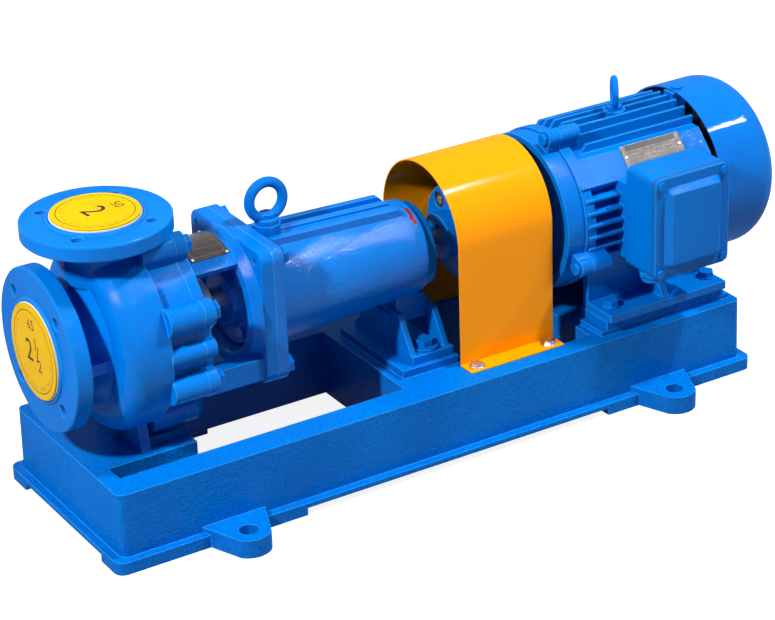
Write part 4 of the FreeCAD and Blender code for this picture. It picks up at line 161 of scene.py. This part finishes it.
# %% [markdown]
# ## Lamps
#
# Five lamps do the work. A level cylinder mirrors a lamp to the camera only when the lamp and the
# camera lean equally far to the two ends of its axis. The camera leans to the flanges, so the main lamp
# hangs over the motor end, and it makes the white streaks on the housing and the guard. A second one
# hangs farther out and does the same for the fan cover. One stands at the front left, where the flanges
# face it. These three are small for their power, since a gloss enamel shows a crisp glint only of a lamp
# that is much brighter than the paint. Two broad weak ones keep the near side of the base and the back
# from going black.

# %% Lamps


def area_lamp(name, place, target, width, height, watts):
    """A rectangular lamp that shines from its place towards a target."""
    lamp_data = bpy.data.lights.new(name, "AREA")
    lamp_data.shape = "RECTANGLE"
    lamp_data.size = width
    lamp_data.size_y = height
    lamp_data.energy = watts
    lamp = bpy.data.objects.new(name, lamp_data)
    aim = (Vector(target) - Vector(place)).to_track_quat("-Z", "Y")
    lamp.matrix_world = Matrix.Translation(place) @ aim.to_matrix().to_4x4()
    bpy.context.collection.objects.link(lamp)
    return lamp


area_lamp("overhead_lamp", (1.05, -0.68, 2.20), (0.0, 0.0, 0.2), 0.21, 0.085, 46)
area_lamp("motor_end_lamp", (1.76, -0.81, 1.95), (0.3, 0.0, 0.25), 0.21, 0.085, 17)
area_lamp("front_left_lamp", (-2.0, -0.6, 1.85), (-0.2, 0.0, 0.2), 0.11, 0.21, 74)
area_lamp("near_side_lamp", (0.9, -2.6, 1.3), (0.1, 0.0, 0.1), 0.50, 0.50, 1.5)
area_lamp("far_side_lamp", (-0.3, 2.6, 1.4), (0.0, 0.0, 0.1), 0.50, 0.50, 12)

# %% [markdown]
# ## The blue enamel
#
# Cast iron that has been brushed with a gloss enamel shows three things at once: slow lumps left by
# the sand mould, a fine orange peel in the paint itself, and paler edges. The paler edges are partly
# the thick paint pulled thin there and partly a painted highlight, a lighter colour that stands in for
# the glints along the edges. Each is one group of nodes. The lumps and the peel are two bump maps on
# top of a Bevel node, which rounds the shading of sharp edges without touching the mesh. The same
# Bevel node, compared with the plain surface direction, also tells where the edges are, and so where
# the painted edge highlight goes. The helpers here keep each of those groups to a line or two.

# %% Helpers for colours and nodes


def srgb(red, green, blue):
    """A screen colour, 0 to 255, as the linear colour that a shader wants."""
    channels = []
    for value in (red, green, blue):
        value /= 255.0
        channels.append(value / 12.92 if value <= 0.04045 else ((value + 0.055) / 1.055) ** 2.4)
    return (*channels, 1.0)


def add(tree, kind, settings=None, **inputs):
    """A node with its settings and its input values; an input that is a socket gets linked."""
    node = tree.nodes.new("ShaderNode" + kind)
    for key, value in (settings or {}).items():
        setattr(node, key, value)
    for key, value in inputs.items():
        socket = node.inputs[key.replace("_", " ")]
        if isinstance(value, bpy.types.NodeSocket):
            tree.links.new(value, socket)
        else:
            socket.default_value = value
    return node


def noise(tree, place, scale, detail=2.0, roughness=0.5):
    """Noise on the piece's own Object coordinates, as a value from 0 to 1."""
    return add(tree, "TexNoise", Vector=place, Scale=scale, Detail=detail, Roughness=roughness).outputs["Fac"]


def spread(tree, value, low, high, start=0.3, end=0.7):
    """Stretches the part of a value between start and end over low to high."""
    node = add(tree, "MapRange", Value=value)
    for key, number in (("From Min", start), ("From Max", end), ("To Min", low), ("To Max", high)):
        node.inputs[key].default_value = number
    return node.outputs["Result"]


def blend_colours(tree, factor, first, second):
    """A mix of two colours; each is a socket or a plain colour."""
    node = tree.nodes.new("ShaderNodeMix")
    node.data_type = "RGBA"
    for index, value in ((0, factor), (6, first), (7, second)):
        socket = node.inputs[index]
        if isinstance(value, bpy.types.NodeSocket):
            tree.links.new(value, socket)
        else:
            socket.default_value = value
    return node.outputs[2]


def bumped(tree, height, strength, distance, normal=None):
    """A surface direction that is tilted by a height; it can start from one that is tilted already."""
    node = add(tree, "Bump", Height=height, Strength=strength, Distance=distance)
    if normal is not None:
        tree.links.new(normal, node.inputs["Normal"])
    return node.outputs["Normal"]


print("a mid blue is", [round(v, 3) for v in srgb(0, 120, 225)[:3]])

# %% [markdown]
# All the gloss comes from a thin clear coat, and the colour under it has no mirror of its own. A deep
# blue stays deep only when the white studio hardly shows in it, and the bright lamps are then the only
# things that glint. The bumps go to the coat's own normal too, or it would stay as flat as glass. The
# colour drifts a little between a deeper and a lighter blue, as hand-brushed paint does. The rougher
# castings get two things more: a bump of sand grit, and darker specks where the paint sank between the
# grains.

# %% Enamel
COAT_IOR = 1.8
LUMP_HEIGHT, GRIT_HEIGHT, PEEL_HEIGHT = 0.0022, 0.0012, 0.0004
LUMP_SCALE, PEEL_SCALE, SPECK_SCALE = 55.0, 900.0, 300.0
DRIFT_SCALE = 7.0
UNDERCOAT_SCALE = 24.0
UNDERCOAT_ROUGHNESS = (0.3, 0.5)
THIN_PAINT_AND_HIGHLIGHT_SHARE = 0.60
SPECK_BLUE = srgb(0, 60, 140)


def enamel(name, colour, thin_paint_and_edge_highlight, deep, lumps=0.14, peel=0.20, edge=0.0022, grit=0.0, grain=210.0,
           coat=0.075, coat_roughness=0.035, speckle=0.0):
    """Gloss enamel over a casting or a sheet: lumps, orange peel, paler edges that are partly thin paint and
    partly a painted highlight, and grit where wanted.
    """
    material = bpy.data.materials.new(name)
    tree, output = new_nodes(material)
    place = add(tree, "TexCoord").outputs["Object"]
    rounded_edge = add(tree, "Bevel", {"samples": 6}, Radius=edge).outputs["Normal"]
    plain = add(tree, "NewGeometry").outputs["Normal"]
    likeness = add(tree, "VectorMath", {"operation": "DOT_PRODUCT"})
    tree.links.new(rounded_edge, likeness.inputs[0])
    tree.links.new(plain, likeness.inputs[1])
    # Edge mask: where the rounded shading leans away from the plain surface, the colour turns paler; this is
    # partly thin paint and partly a painted highlight along the edges.
    edges = spread(tree, likeness.outputs["Value"], THIN_PAINT_AND_HIGHLIGHT_SHARE, 0.0, 0.80, 0.985)
    cloud = noise(tree, place, DRIFT_SCALE, 4.0)
    body = blend_colours(tree, spread(tree, cloud, 0.0, 1.0, 0.35, 0.68), deep, colour)
    if speckle:
        specks = spread(tree, noise(tree, place, SPECK_SCALE, 2.0, 0.6), 0.0, speckle, 0.45, 0.62)
        body = blend_colours(tree, specks, body, SPECK_BLUE)
    # The edges take the paler colour here: thin paint and a painted edge highlight.
    painted = blend_colours(tree, edges, body, thin_paint_and_edge_highlight)
    slow = bumped(tree, noise(tree, place, LUMP_SCALE, 2.0), lumps, LUMP_HEIGHT, rounded_edge)
    if grit:
        slow = bumped(tree, noise(tree, place, grain, 3.0, 0.6), grit, GRIT_HEIGHT, slow)
    fine = bumped(tree, noise(tree, place, PEEL_SCALE, 2.0, 0.6), peel, PEEL_HEIGHT, slow)
    rough = spread(tree, noise(tree, place, UNDERCOAT_SCALE, 3.0), *UNDERCOAT_ROUGHNESS, 0.35, 0.7)
    surface = add(tree, "BsdfPrincipled", Roughness=rough, Normal=fine, Base_Color=painted)
    surface.inputs["Specular IOR Level"].default_value = 0.0
    surface.inputs["Coat Weight"].default_value = coat
    surface.inputs["Coat IOR"].default_value = COAT_IOR
    surface.inputs["Coat Roughness"].default_value = coat_roughness
    tree.links.new(fine, surface.inputs["Coat Normal"])
    tree.links.new(surface.outputs[0], output.inputs["Surface"])
    return material


# The second colour of each set is the paler edge colour: partly thin paint, partly a painted highlight along
# the edges.
BLUES = (srgb(0, 117, 210), srgb(56, 176, 255), srgb(0, 104, 196))
ORANGES = (srgb(252, 156, 0), srgb(255, 190, 20), srgb(250, 151, 0))
casting_blue = enamel("blue_enamel_on_castings", *BLUES, lumps=0.20, grit=0.45, grain=300.0)
housing_blue = enamel("blue_enamel_on_the_housing", *BLUES, lumps=0.12, grit=0.75, grain=270.0, coat=0.15,
                      speckle=0.15)
base_blue = enamel("blue_enamel_on_the_base", *BLUES, lumps=0.30, peel=0.12, grit=0.85, grain=330.0,
                   coat=0.05, coat_roughness=0.08, speckle=0.30)
sheet_blue = enamel("blue_enamel_on_sheet", *BLUES, lumps=0.05, peel=0.08, edge=0.001, coat=0.10)
bolt_blue = enamel("blue_enamel_on_bolts", *BLUES, lumps=0.25, peel=0.1, edge=0.0009)
guard_orange = enamel("orange_enamel_on_the_guard", *ORANGES, lumps=0.04, peel=0.10, edge=0.0008,
                      coat=0.10, coat_roughness=0.10)
print(len(bpy.data.materials), "materials so far")

# %% [markdown]
# ## Metals, plastics and rubber
#
# The other finishes are seen in small amounts, so each gets the one trait that names it: turned and
# brushed steel has fine rings or streaks and zinc plate is mottled. In one helper the scratches come
# from a noise that is stretched along one axis.

# %% Metals
WEAR_SHARE = 0.35
METAL_EDGE = 0.0006
SCRATCH_HEIGHT = 0.0003


def metal(name, colour, dark, roughness, streak, scale, bump=0.15):
    """Bare metal whose scratches run along the axis with the smallest streak number."""
    material = bpy.data.materials.new(name)
    tree, output = new_nodes(material)
    place = add(tree, "TexCoord").outputs["Object"]
    stretched = add(tree, "Mapping", Vector=place, Scale=streak).outputs["Vector"]
    lines = noise(tree, stretched, scale, 3.0, 0.6)
    patches = noise(tree, place, 18.0, 3.0)
    tint = blend_colours(tree, spread(tree, patches, 0.0, WEAR_SHARE, 0.35, 0.7), colour, dark)
    rough = spread(tree, lines, roughness[0], roughness[1])
    edge = add(tree, "Bevel", {"samples": 4}, Radius=METAL_EDGE).outputs["Normal"]
    normal = bumped(tree, lines, bump, SCRATCH_HEIGHT, edge)
    surface = add(tree, "BsdfPrincipled", Roughness=rough, Normal=normal, Base_Color=tint)
    surface.inputs["Metallic"].default_value = 1.0
    tree.links.new(surface.outputs[0], output.inputs["Surface"])
    return material


MOTTLED = (1.0, 1.0, 1.0)
ground_steel = metal("ground_steel", srgb(190, 192, 196), srgb(130, 132, 138), (0.18, 0.36),
                     (14.0, 1.0, 1.0), 90.0)
turned_steel = metal("turned_stainless_steel", srgb(200, 202, 205), srgb(150, 152, 156), (0.2, 0.35),
                     (20.0, 1.0, 1.0), 80.0)
zinc_steel = metal("zinc_plated_steel", srgb(214, 216, 220), srgb(170, 172, 178), (0.2, 0.42),
                   MOTTLED, 140.0)
bearing_steel = metal("polished_bearing_steel", srgb(206, 208, 212), srgb(170, 172, 178), (0.08, 0.16),
                      MOTTLED, 200.0, 0.03)
sheet_stack = metal("stacked_electrical_sheet", srgb(120, 122, 128), srgb(84, 84, 90), (0.35, 0.55),
                    (60.0, 1.0, 1.0), 30.0, 0.4)
copper = metal("varnished_copper_winding", srgb(190, 112, 62), srgb(120, 62, 30), (0.3, 0.5),
               (1.0, 6.0, 6.0), 90.0, 0.6)
print(len(bpy.data.materials), "materials with the metals")

# %% [markdown]
# Fluoroplastic is milky, the transport caps are satin moulded plastic, and rubber is dark and dull. One
# helper covers them all with a mottle, a fine skin and a rounded edge; only the milky one lets
# light in under its surface.

# %% Plastics and rubber
MOTTLE_SCALE = 12.0
MOULDED_EDGE = 0.0008
SKIN_HEIGHT = 0.0004
MILK_DEPTHS = (0.004, 0.004, 0.005)


def moulded(name, colour, dark, roughness, bump=0.05, scale=300.0, milky=0.0, mirror=0.5):
    """Moulded plastic, ceramic or rubber with a faint mottle and a fine skin."""
    material = bpy.data.materials.new(name)
    tree, output = new_nodes(material)
    place = add(tree, "TexCoord").outputs["Object"]
    patches = noise(tree, place, MOTTLE_SCALE, 3.0)
    tint = blend_colours(tree, spread(tree, patches, 0.0, 1.0, 0.35, 0.7), colour, dark)
    rough = spread(tree, noise(tree, place, 30.0, 2.0), roughness[0], roughness[1])
    edge = add(tree, "Bevel", {"samples": 4}, Radius=MOULDED_EDGE).outputs["Normal"]
    normal = bumped(tree, noise(tree, place, scale, 2.0), bump, SKIN_HEIGHT, edge)
    surface = add(tree, "BsdfPrincipled", Roughness=rough, Normal=normal, Base_Color=tint)
    surface.inputs["Specular IOR Level"].default_value = mirror
    if milky:
        surface.inputs["Subsurface Weight"].default_value = milky
        surface.inputs["Subsurface Radius"].default_value = MILK_DEPTHS
    tree.links.new(surface.outputs[0], output.inputs["Surface"])
    return material


fluoroplastic = moulded("milky_fluoroplastic", srgb(222, 228, 234), srgb(196, 205, 214), (0.3, 0.45),
                        milky=0.35)
cap_yellow = moulded("yellow_cap_plastic", srgb(222, 177, 0), srgb(216, 168, 0), (0.30, 0.42),
                     mirror=0.02)
cap_print = moulded("black_print_on_caps", srgb(26, 24, 18), srgb(40, 36, 24), (0.5, 0.6), 0.02, mirror=0.1)
plate_ink = moulded("dark_plate_filling", srgb(38, 36, 36), srgb(56, 52, 50), (0.5, 0.6), 0.02)
plate_relief = moulded("pale_plate_lines", srgb(128, 120, 112), srgb(96, 88, 84), (0.4, 0.5), 0.02)
foil_red = moulded("red_foil", srgb(150, 34, 28), srgb(120, 24, 22), (0.4, 0.5), mirror=0.05)
black_plastic = moulded("black_plastic", srgb(34, 34, 36), srgb(22, 22, 24), (0.4, 0.55), 0.12)
black_rubber = moulded("black_rubber", srgb(26, 26, 27), srgb(38, 38, 38), (0.6, 0.8), 0.2, 400.0)
seal_ceramic = moulded("seal_ceramic", srgb(228, 224, 214), srgb(214, 208, 196), (0.12, 0.2), 0.02)
print(len(bpy.data.materials), "materials with the plastics")

# %% [markdown]
# The two nameplates are bare metal, one bright and one gone brown with oil. A slow noise stains the
# plate and a stretched one brushes it.

# %% Bare plates
BRUSHING = (2.0, 40.0, 40.0)


def bare_plate(name, colour, stain, shine):
    """A nameplate with nothing on it: brushed sheet metal with oily stains."""
    material = bpy.data.materials.new(name)
    tree, output = new_nodes(material)
    place = add(tree, "TexCoord").outputs["Object"]
    brushed = add(tree, "Mapping", Vector=place, Scale=BRUSHING).outputs["Vector"]
    streaks = noise(tree, brushed, 40.0, 2.0)
    tint = blend_colours(tree, spread(tree, noise(tree, place, 130.0, 4.0, 0.7), 0.0, 1.0), colour, stain)
    rough = spread(tree, streaks, 0.3, 0.5)
    normal = bumped(tree, streaks, 0.2, SCRATCH_HEIGHT)
    surface = add(tree, "BsdfPrincipled", Roughness=rough, Normal=normal, Base_Color=tint)
    surface.inputs["Metallic"].default_value = shine
    tree.links.new(surface.outputs[0], output.inputs["Surface"])
    return material


bright_plate = bare_plate("bright_nameplate_sheet", srgb(88, 84, 82), srgb(54, 50, 50), 0.7)
oily_plate = bare_plate("oily_nameplate_sheet", srgb(82, 74, 72), srgb(44, 40, 42), 0.6)
print(len(bpy.data.materials), "materials in all")

# %% [markdown]
# ## Giving every piece its finish
#
# The record names a finish slot for each piece, so most pieces need one line: look the slot up. A few
# castings are treated alone, because the base is rougher than the rest and the bearing housing shows
# more of its sand mould.

# %% Finishes by slot
finish_of_slot = {
    "blue_enamel": casting_blue, "blue_sheet": sheet_blue, "blue_fasteners": bolt_blue,
    "orange_enamel": guard_orange, "yellow_cap": cap_yellow, "fluoroplastic": fluoroplastic,
    "bare_plate": bright_plate, "stainless_steel": turned_steel, "ground_steel": ground_steel,
    "zinc_steel": zinc_steel, "bearing_steel": bearing_steel, "seal_ceramic": seal_ceramic,
    "lamination_steel": sheet_stack, "copper_winding": copper, "black_plastic": black_plastic,
    "black_rubber": black_rubber,
}
finish_of_node = {
    "base_frame": base_blue, "bearing_housing": housing_blue, "motor_packing_strips": base_blue,
    "pump_nameplate": oily_plate,
}


def paint(piece, material):
    """Give a piece one finish in place of what it had."""
    piece.data.materials.clear()
    piece.data.materials.append(material)


for row in frame["record"]["subparts"]:
    usual = finish_of_slot[row["material_slot"]]
    paint(nodes[row["node"]], finish_of_node.get(row["node"], usual))

# %% [markdown]
# ## Small pieces that the solids leave out
#
# The rest of the likeness is in small things: the print on the transport caps, the threads inside the
# tapped flange holes, the rivets and ruled lines of the nameplates, the gasket under the terminal box
# lid, the washers under the guard's screws and a small foil. Each is made with bmesh operators straight
# in the machine's own coordinates, so its object stays at the origin, unturned and unscaled. Then it
# rides on the body that carries it.
#
# A ring is a small outline spun round an axis. Its last step is merged with its first one, which leaves
# no seam. A helper keeps track of the corners that were there before, so that only the new ones get moved.

# %% Helpers for new pieces
RING_STEPS = 72
DOME_STEPS = 20
DOME_ANGLES = (0.0, 0.4, 0.8, 1.15)


def new_piece(name, shape, material, body, sharp=35.0):
    """Turn a finished bmesh into a piece that rides on a body."""
    bmesh.ops.recalc_face_normals(shape, faces=shape.faces[:])
    mesh = bpy.data.meshes.new(name)
    shape.to_mesh(mesh)
    shape.free()
    mesh.shade_smooth()
    mesh.set_sharp_from_angle(angle=math.radians(sharp))
    piece = bpy.data.objects.new(name, mesh)
    bpy.context.collection.objects.link(piece)
    paint(piece, material)
    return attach(piece, body)


def spun(shape, place, outline, steps=RING_STEPS):
    """A ring about the local Z axis; the outline holds (radius, height) corners."""
    before = set(shape.verts)
    corners = [shape.verts.new((radius, 0.0, height)) for radius, height in outline]
    edges = [shape.edges.new((corners[i - 1], corners[i])) for i in range(len(corners))]
    bmesh.ops.spin(shape, geom=corners + edges, cent=(0, 0, 0), axis=(0, 0, 1), angle=math.tau,
                   steps=steps, use_merge=True)
    bmesh.ops.transform(shape, matrix=place, verts=[v for v in shape.verts if v not in before])


def band(inner, outer, low, high):
    """The outline of a flat ring."""
    return [(inner, low), (outer, low), (outer, high), (inner, high)]


def block(shape, place, length, width, height):
    """A block about the local origin."""
    bmesh.ops.create_cube(shape, size=1.0, matrix=place @ Matrix.Diagonal((length, width, height, 1.0)))


def dome(shape, place, radius, height):
    """A low round head standing on the local XY plane."""
    outline = [(radius * math.cos(a), height * math.sin(a)) for a in DOME_ANGLES]
    before = set(shape.verts)
    corners = [shape.verts.new((r, 0.0, h)) for r, h in outline]
    edges = [shape.edges.new(pair) for pair in zip(corners, corners[1:])]
    bmesh.ops.spin(shape, geom=corners + edges, cent=(0, 0, 0), axis=(0, 0, 1), angle=math.tau,
                   steps=DOME_STEPS, use_merge=True)
    rims = [e for e in shape.edges if e.is_boundary and e.verts[0] not in before]
    bmesh.ops.holes_fill(shape, edges=rims, sides=0)
    bmesh.ops.transform(shape, matrix=place, verts=[v for v in shape.verts if v not in before])


def facing(point, outward, upright):
    """A place whose local Z points outward and whose local Y points as upright as it can."""
    z_axis = Vector(outward).normalized()
    x_axis = Vector(upright).cross(z_axis).normalized()
    y_axis = z_axis.cross(x_axis)
    return Matrix.Translation(point) @ Matrix((x_axis, y_axis, z_axis)).transposed().to_4x4()


mounts = {mount["name"]: mount for mount in frame["record"]["mounts"]}
shaft_height = frame["record"]["behaviour"]["joints"][0]["pos_m"][2]
X_START = mounts["suction_flange"]["pos_m"][0]
print("shaft axis", shaft_height, "m above the floor; suction face at x =", X_START)

# %% [markdown]
# ### Threads in the flange holes
#
# The flange holes are tapped, so their walls are ridged. A stack of fine V-shaped rings in each hole gives
# the same dark and light bands as a real thread. The hole places come from the mounts in the record.

# %% Threads
PITCH = 0.002
RIDGE_HALF = PITCH * 0.48
RIDGE_DEPTH = 0.0009
RIDGE_ROOT = 0.00005
THREAD_STEPS = 28
FLANGE_THICKNESS = {"suction_flange": 0.020, "discharge_flange": 0.018}


def thread_rings(shape, start, inward, length, radius):
    """V-shaped rings down a hole, from its mouth inwards."""
    upright = (0, 1, 0) if abs(inward.z) > 0.5 else (0, 0, 1)
    root, crest = radius + RIDGE_ROOT, radius - RIDGE_DEPTH
    for turn in range(int(length / PITCH) - 1):
        place = facing(start + inward * (PITCH * (turn + 1)), inward, upright)
        spun(shape, place, [(root, -RIDGE_HALF), (crest, 0.0), (root, RIDGE_HALF)], THREAD_STEPS)


threads = bmesh.new()
for mount_name, flange_thickness in FLANGE_THICKNESS.items():
    mount = mounts[mount_name]
    outward = Vector(mount["axis"])
    across = Vector((0, 1, 0))
    along_face = outward.cross(across)
    for quarter in range(4):
        angle = math.radians(45 + 90 * quarter)
        reach = mount["dims"]["pcd_mm"] / 2000
        mouth = Vector(mount["pos_m"]) + (across * math.cos(angle) + along_face * math.sin(angle)) * reach
        thread_rings(threads, mouth, -outward, flange_thickness, mount["dims"]["hole_r_mm"] / 1000)
flange_threads = new_piece("flange_threads", threads, bolt_blue, "root", 20)
print("flange threads", len(flange_threads.data.polygons), "faces")

# %% [markdown]
# ### Print on the transport caps
#
# Each yellow cap carries its nominal size as plain numbers, inside a thin ring with short
# ticks along it. The numbers start as text, are turned into a mesh, and that mesh is
# laid on the cap. The print stands three hundredths of a millimetre above the plastic, like
# screen-printed ink.

# %% Cap print
INK = 0.00003
RING_SHARE, RING_WIDTH = 0.86, 0.0009
TICK_SHARE, TICK_LENGTH_SHARE, TICK_WIDTH = 0.77, 0.05, 0.0005
TICK_PLACES, FIRST_TICK, LAST_TICK = 90, 12, 78
TICKS_IN_A_GROUP, GROUP_PLACES = 6, 8


def text_onto(shape, words, place, height):
    """Adds text to a bmesh as thin solid letters centred on a place."""
    letters = bpy.data.curves.new(words, "FONT")
    letters.body = words
    letters.size = height
    letters.extrude = INK
    letters.align_x = "CENTER"
    letters.align_y = "CENTER"
    letters.resolution_u = 4
    holder = bpy.data.objects.new(words, letters)
    bpy.context.collection.objects.link(holder)
    bpy.context.view_layer.update()
    mesh = bpy.data.meshes.new_from_object(holder.evaluated_get(bpy.context.evaluated_depsgraph_get()))
    bpy.data.objects.remove(holder)
    mesh.transform(place)
    shape.from_mesh(mesh)
    bpy.data.meshes.remove(mesh)
    bpy.data.curves.remove(letters)


def cap_print_on(name, body, place, radius, numbers):
    """A ring, ticks and the numbers on one cap."""
    shape = bmesh.new()
    spun(shape, place, band(radius * RING_SHARE, radius * RING_SHARE + RING_WIDTH, -INK, INK), 96)
    outwards = Matrix.Translation((0, radius * TICK_SHARE, 0))
    for tick in range(FIRST_TICK, LAST_TICK):
        if tick % GROUP_PLACES < TICKS_IN_A_GROUP:
            turn = Matrix.Rotation(math.tau * tick / TICK_PLACES, 4, "Z")
            block(shape, place @ turn @ outwards, TICK_WIDTH, radius * TICK_LENGTH_SHARE, 2 * INK)
    for words, height, across, upwards in numbers:
        text_onto(shape, words, place @ Matrix.Translation((across, upwards, 0)), height)
    return new_piece(name, shape, cap_print, body, 30)


low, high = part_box("discharge_transport_cap")
cap_radius = (high[0] - low[0]) / 2
print_turn = Matrix.Rotation(math.radians(-83), 4, "Z")
discharge_face = Matrix.Translation(((low[0] + high[0]) / 2, 0, high[2])) @ print_turn
discharge_print = cap_print_on("discharge_cap_print", "discharge_cap", discharge_face, cap_radius,
                               [("2", 0.040, -0.002, -0.002), ("50", 0.016, 0.001, 0.027)])
low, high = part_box("suction_transport_cap")
cap_radius = (high[2] - low[2]) / 2
suction_face = facing((low[0], 0, shaft_height), (-1, 0, 0), (0, 0.05, 1))
suction_print = cap_print_on("suction_cap_print", "suction_cap", suction_face, cap_radius,
                             [("2", 0.036, -0.010, -0.002), ("1", 0.020, 0.007, 0.010),
                              ("2", 0.020, 0.013, -0.014), ("/", 0.028, 0.010, -0.002),
                              ("65", 0.017, 0.0, 0.031)])
print("prints on the caps:", len(discharge_print.data.polygons) + len(suction_print.data.polygons), "faces")

# %% [markdown]
# ### Nameplates with nothing written on them
#
# The plates keep their rivets, frame and ruled lines, and stay empty. The plate over the lantern is
# curved, so its lines are placed by an angle round the shaft axis. The motor's plate lies on a slanted
# flat.

# %% Nameplate details
FRAME_LINE, RULED_LINE, LINE_HEIGHT = 0.0006, 0.0004, 0.0001
FRAME_LENGTH, FRAME_WIDTH = 0.0700, 0.0270
ROW_STEP = 0.0045
PLATE_TILT = math.radians(46)


def line_on(shape, place, along, upwards, length, width):
    """One thin raised line on a plate, at so far along it and so far up it."""
    block(shape, place @ Matrix.Translation((along, upwards, 0)), length, width, LINE_HEIGHT)


low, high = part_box("motor_nameplate")
middle = (Vector(low) + Vector(high)) / 2
plate_place = Matrix.Translation(middle) @ Matrix.Rotation(PLATE_TILT, 4, "X")
plate_place = plate_place @ Matrix.Translation((0, 0, 0.0004))
lines = bmesh.new()
for side in (-1, 1):
    line_on(lines, plate_place, 0, side * FRAME_WIDTH / 2, FRAME_LENGTH, FRAME_LINE)
    line_on(lines, plate_place, side * FRAME_LENGTH / 2, 0, FRAME_LINE, FRAME_WIDTH)
line_on(lines, plate_place, 0, 0.0105, FRAME_LENGTH, 0.0055)
for row in range(4):
    line_on(lines, plate_place, 0, ROW_STEP - ROW_STEP * row, FRAME_LENGTH, RULED_LINE)
for column in (-0.018, 0.0, 0.018):
    line_on(lines, plate_place, column, -0.003, RULED_LINE, 0.0210)
motor_plate_lines = new_piece("motor_nameplate_lines", lines, plate_ink, "root")
rivets = bmesh.new()
for side in (-1, 1):
    dome(rivets, plate_place @ Matrix.Translation((side * 0.038, 0, 0)), 0.0022, 0.0012)

low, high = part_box("pump_nameplate")
plate_radius = high[2] - shaft_height
plate_half = math.asin(high[1] / plate_radius)


def on_the_bridge(along, angle):
    """A place on the curved plate: local Z points away from the shaft axis."""
    outward = Vector((0, math.sin(angle), math.cos(angle)))
    return facing(Vector((along, 0, shaft_height)) + outward * plate_radius, outward, (1, 0, 0))


FRAME_INSET = 0.004
FRAME_SHARE = 0.86
FRAME_PARTS = 16
lines = bmesh.new()
part_length = plate_radius * plate_half * 1.78 / FRAME_PARTS
for index in range(FRAME_PARTS):
    angle = plate_half * FRAME_SHARE * (2 * (index + 0.5) / FRAME_PARTS - 1)
    for along in (low[0] + FRAME_INSET, high[0] - FRAME_INSET):
        block(lines, on_the_bridge(along, angle), part_length, FRAME_LINE, LINE_HEIGHT)
ruled_length = high[0] - low[0] - 2 * FRAME_INSET
for share in (-FRAME_SHARE, -0.5, -0.2, 0.1, 0.4, FRAME_SHARE):
    place = on_the_bridge((low[0] + high[0]) / 2, plate_half * share)
    block(lines, place, FRAME_LINE, ruled_length, LINE_HEIGHT)
pump_plate_lines = new_piece("pump_nameplate_lines", lines, plate_relief, "root")
for along in (low[0] + 0.0022, high[0] - 0.0022):
    for side in (-1, 1):
        dome(rivets, on_the_bridge(along, side * plate_half * 0.93), 0.0018, 0.0011)
plate_rivets = new_piece("nameplate_rivets", rivets, zinc_steel, "root")
print("rivets", len(plate_rivets.data.polygons), "faces; lines",
      len(motor_plate_lines.data.polygons) + len(pump_plate_lines.data.polygons), "faces")

# %% [markdown]
# ### Gasket, washers and a bare foil
#
# The gasket of the terminal box lid shows as a thin dark line. Plain washers lie under the four
# screws of the guard, and a small bare foil sticks on the coupling end of the bearing housing.

# %% Gasket, washers and foil
GASKET_LIP, GASKET_THICKNESS, GASKET_CORNER = 0.0006, 0.0014, 0.009
WASHER_BORE, WASHER_RADIUS, WASHER_THICKNESS = 0.0045, 0.0095, 0.0014
GUARD_SHEET = 0.0015
FOIL_REACH, FOIL_START, FOIL_WIDTH = 0.0556, X_START + 0.446, 0.013
FOIL_PARTS, FOIL_FIRST, FOIL_STEP = 9, 15.0, 3.0
low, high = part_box("terminal_box")
gasket = bmesh.new()
plane = Matrix.Translation(((low[0] + high[0]) / 2, low[1], (low[2] + high[2]) / 2))
width, height = high[0] - low[0], high[2] - low[2]
block(gasket, plane, width + GASKET_LIP, GASKET_THICKNESS, height + GASKET_LIP)
corner_edges = [e for e in gasket.edges if abs((e.verts[0].co - e.verts[1].co).y) > 0.001]
bmesh.ops.bevel(gasket, geom=corner_edges, offset=GASKET_CORNER, offset_type="OFFSET", segments=6,
                profile=0.5, affect="EDGES", material=-1)
lid_gasket = new_piece("terminal_lid_gasket", gasket, black_rubber, "root")

low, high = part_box("guard_screws")
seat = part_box("coupling_guard")[0][2] + GUARD_SHEET
head_half_length, head_half_width = 0.0092, 0.0080
washer = band(WASHER_BORE, WASHER_RADIUS, 0.0, WASHER_THICKNESS)
washers = bmesh.new()
for x in (low[0] + head_half_length, high[0] - head_half_length):
    for y in (low[1] + head_half_width, high[1] - head_half_width):
        spun(washers, Matrix.Translation((x, y, seat)), washer, 32)
guard_washers = new_piece("guard_washers", washers, zinc_steel, "root")

foil = bmesh.new()
for index in range(FOIL_PARTS):
    angle = -math.radians(FOIL_FIRST + FOIL_STEP * (index + 0.5))
    outward = Vector((0, math.sin(angle), math.cos(angle)))
    centre = Vector((FOIL_START + FOIL_WIDTH / 2, 0, shaft_height)) + outward * FOIL_REACH
    arc = FOIL_REACH * math.radians(FOIL_STEP + 0.02)
    block(foil, facing(centre, outward, (1, 0, 0)), arc, FOIL_WIDTH, 0.0002)
bare_foil = new_piece("bare_red_foil", foil, foil_red, "root")
print("gasket", len(lid_gasket.data.polygons), "faces; washers", len(guard_washers.data.polygons), "faces")
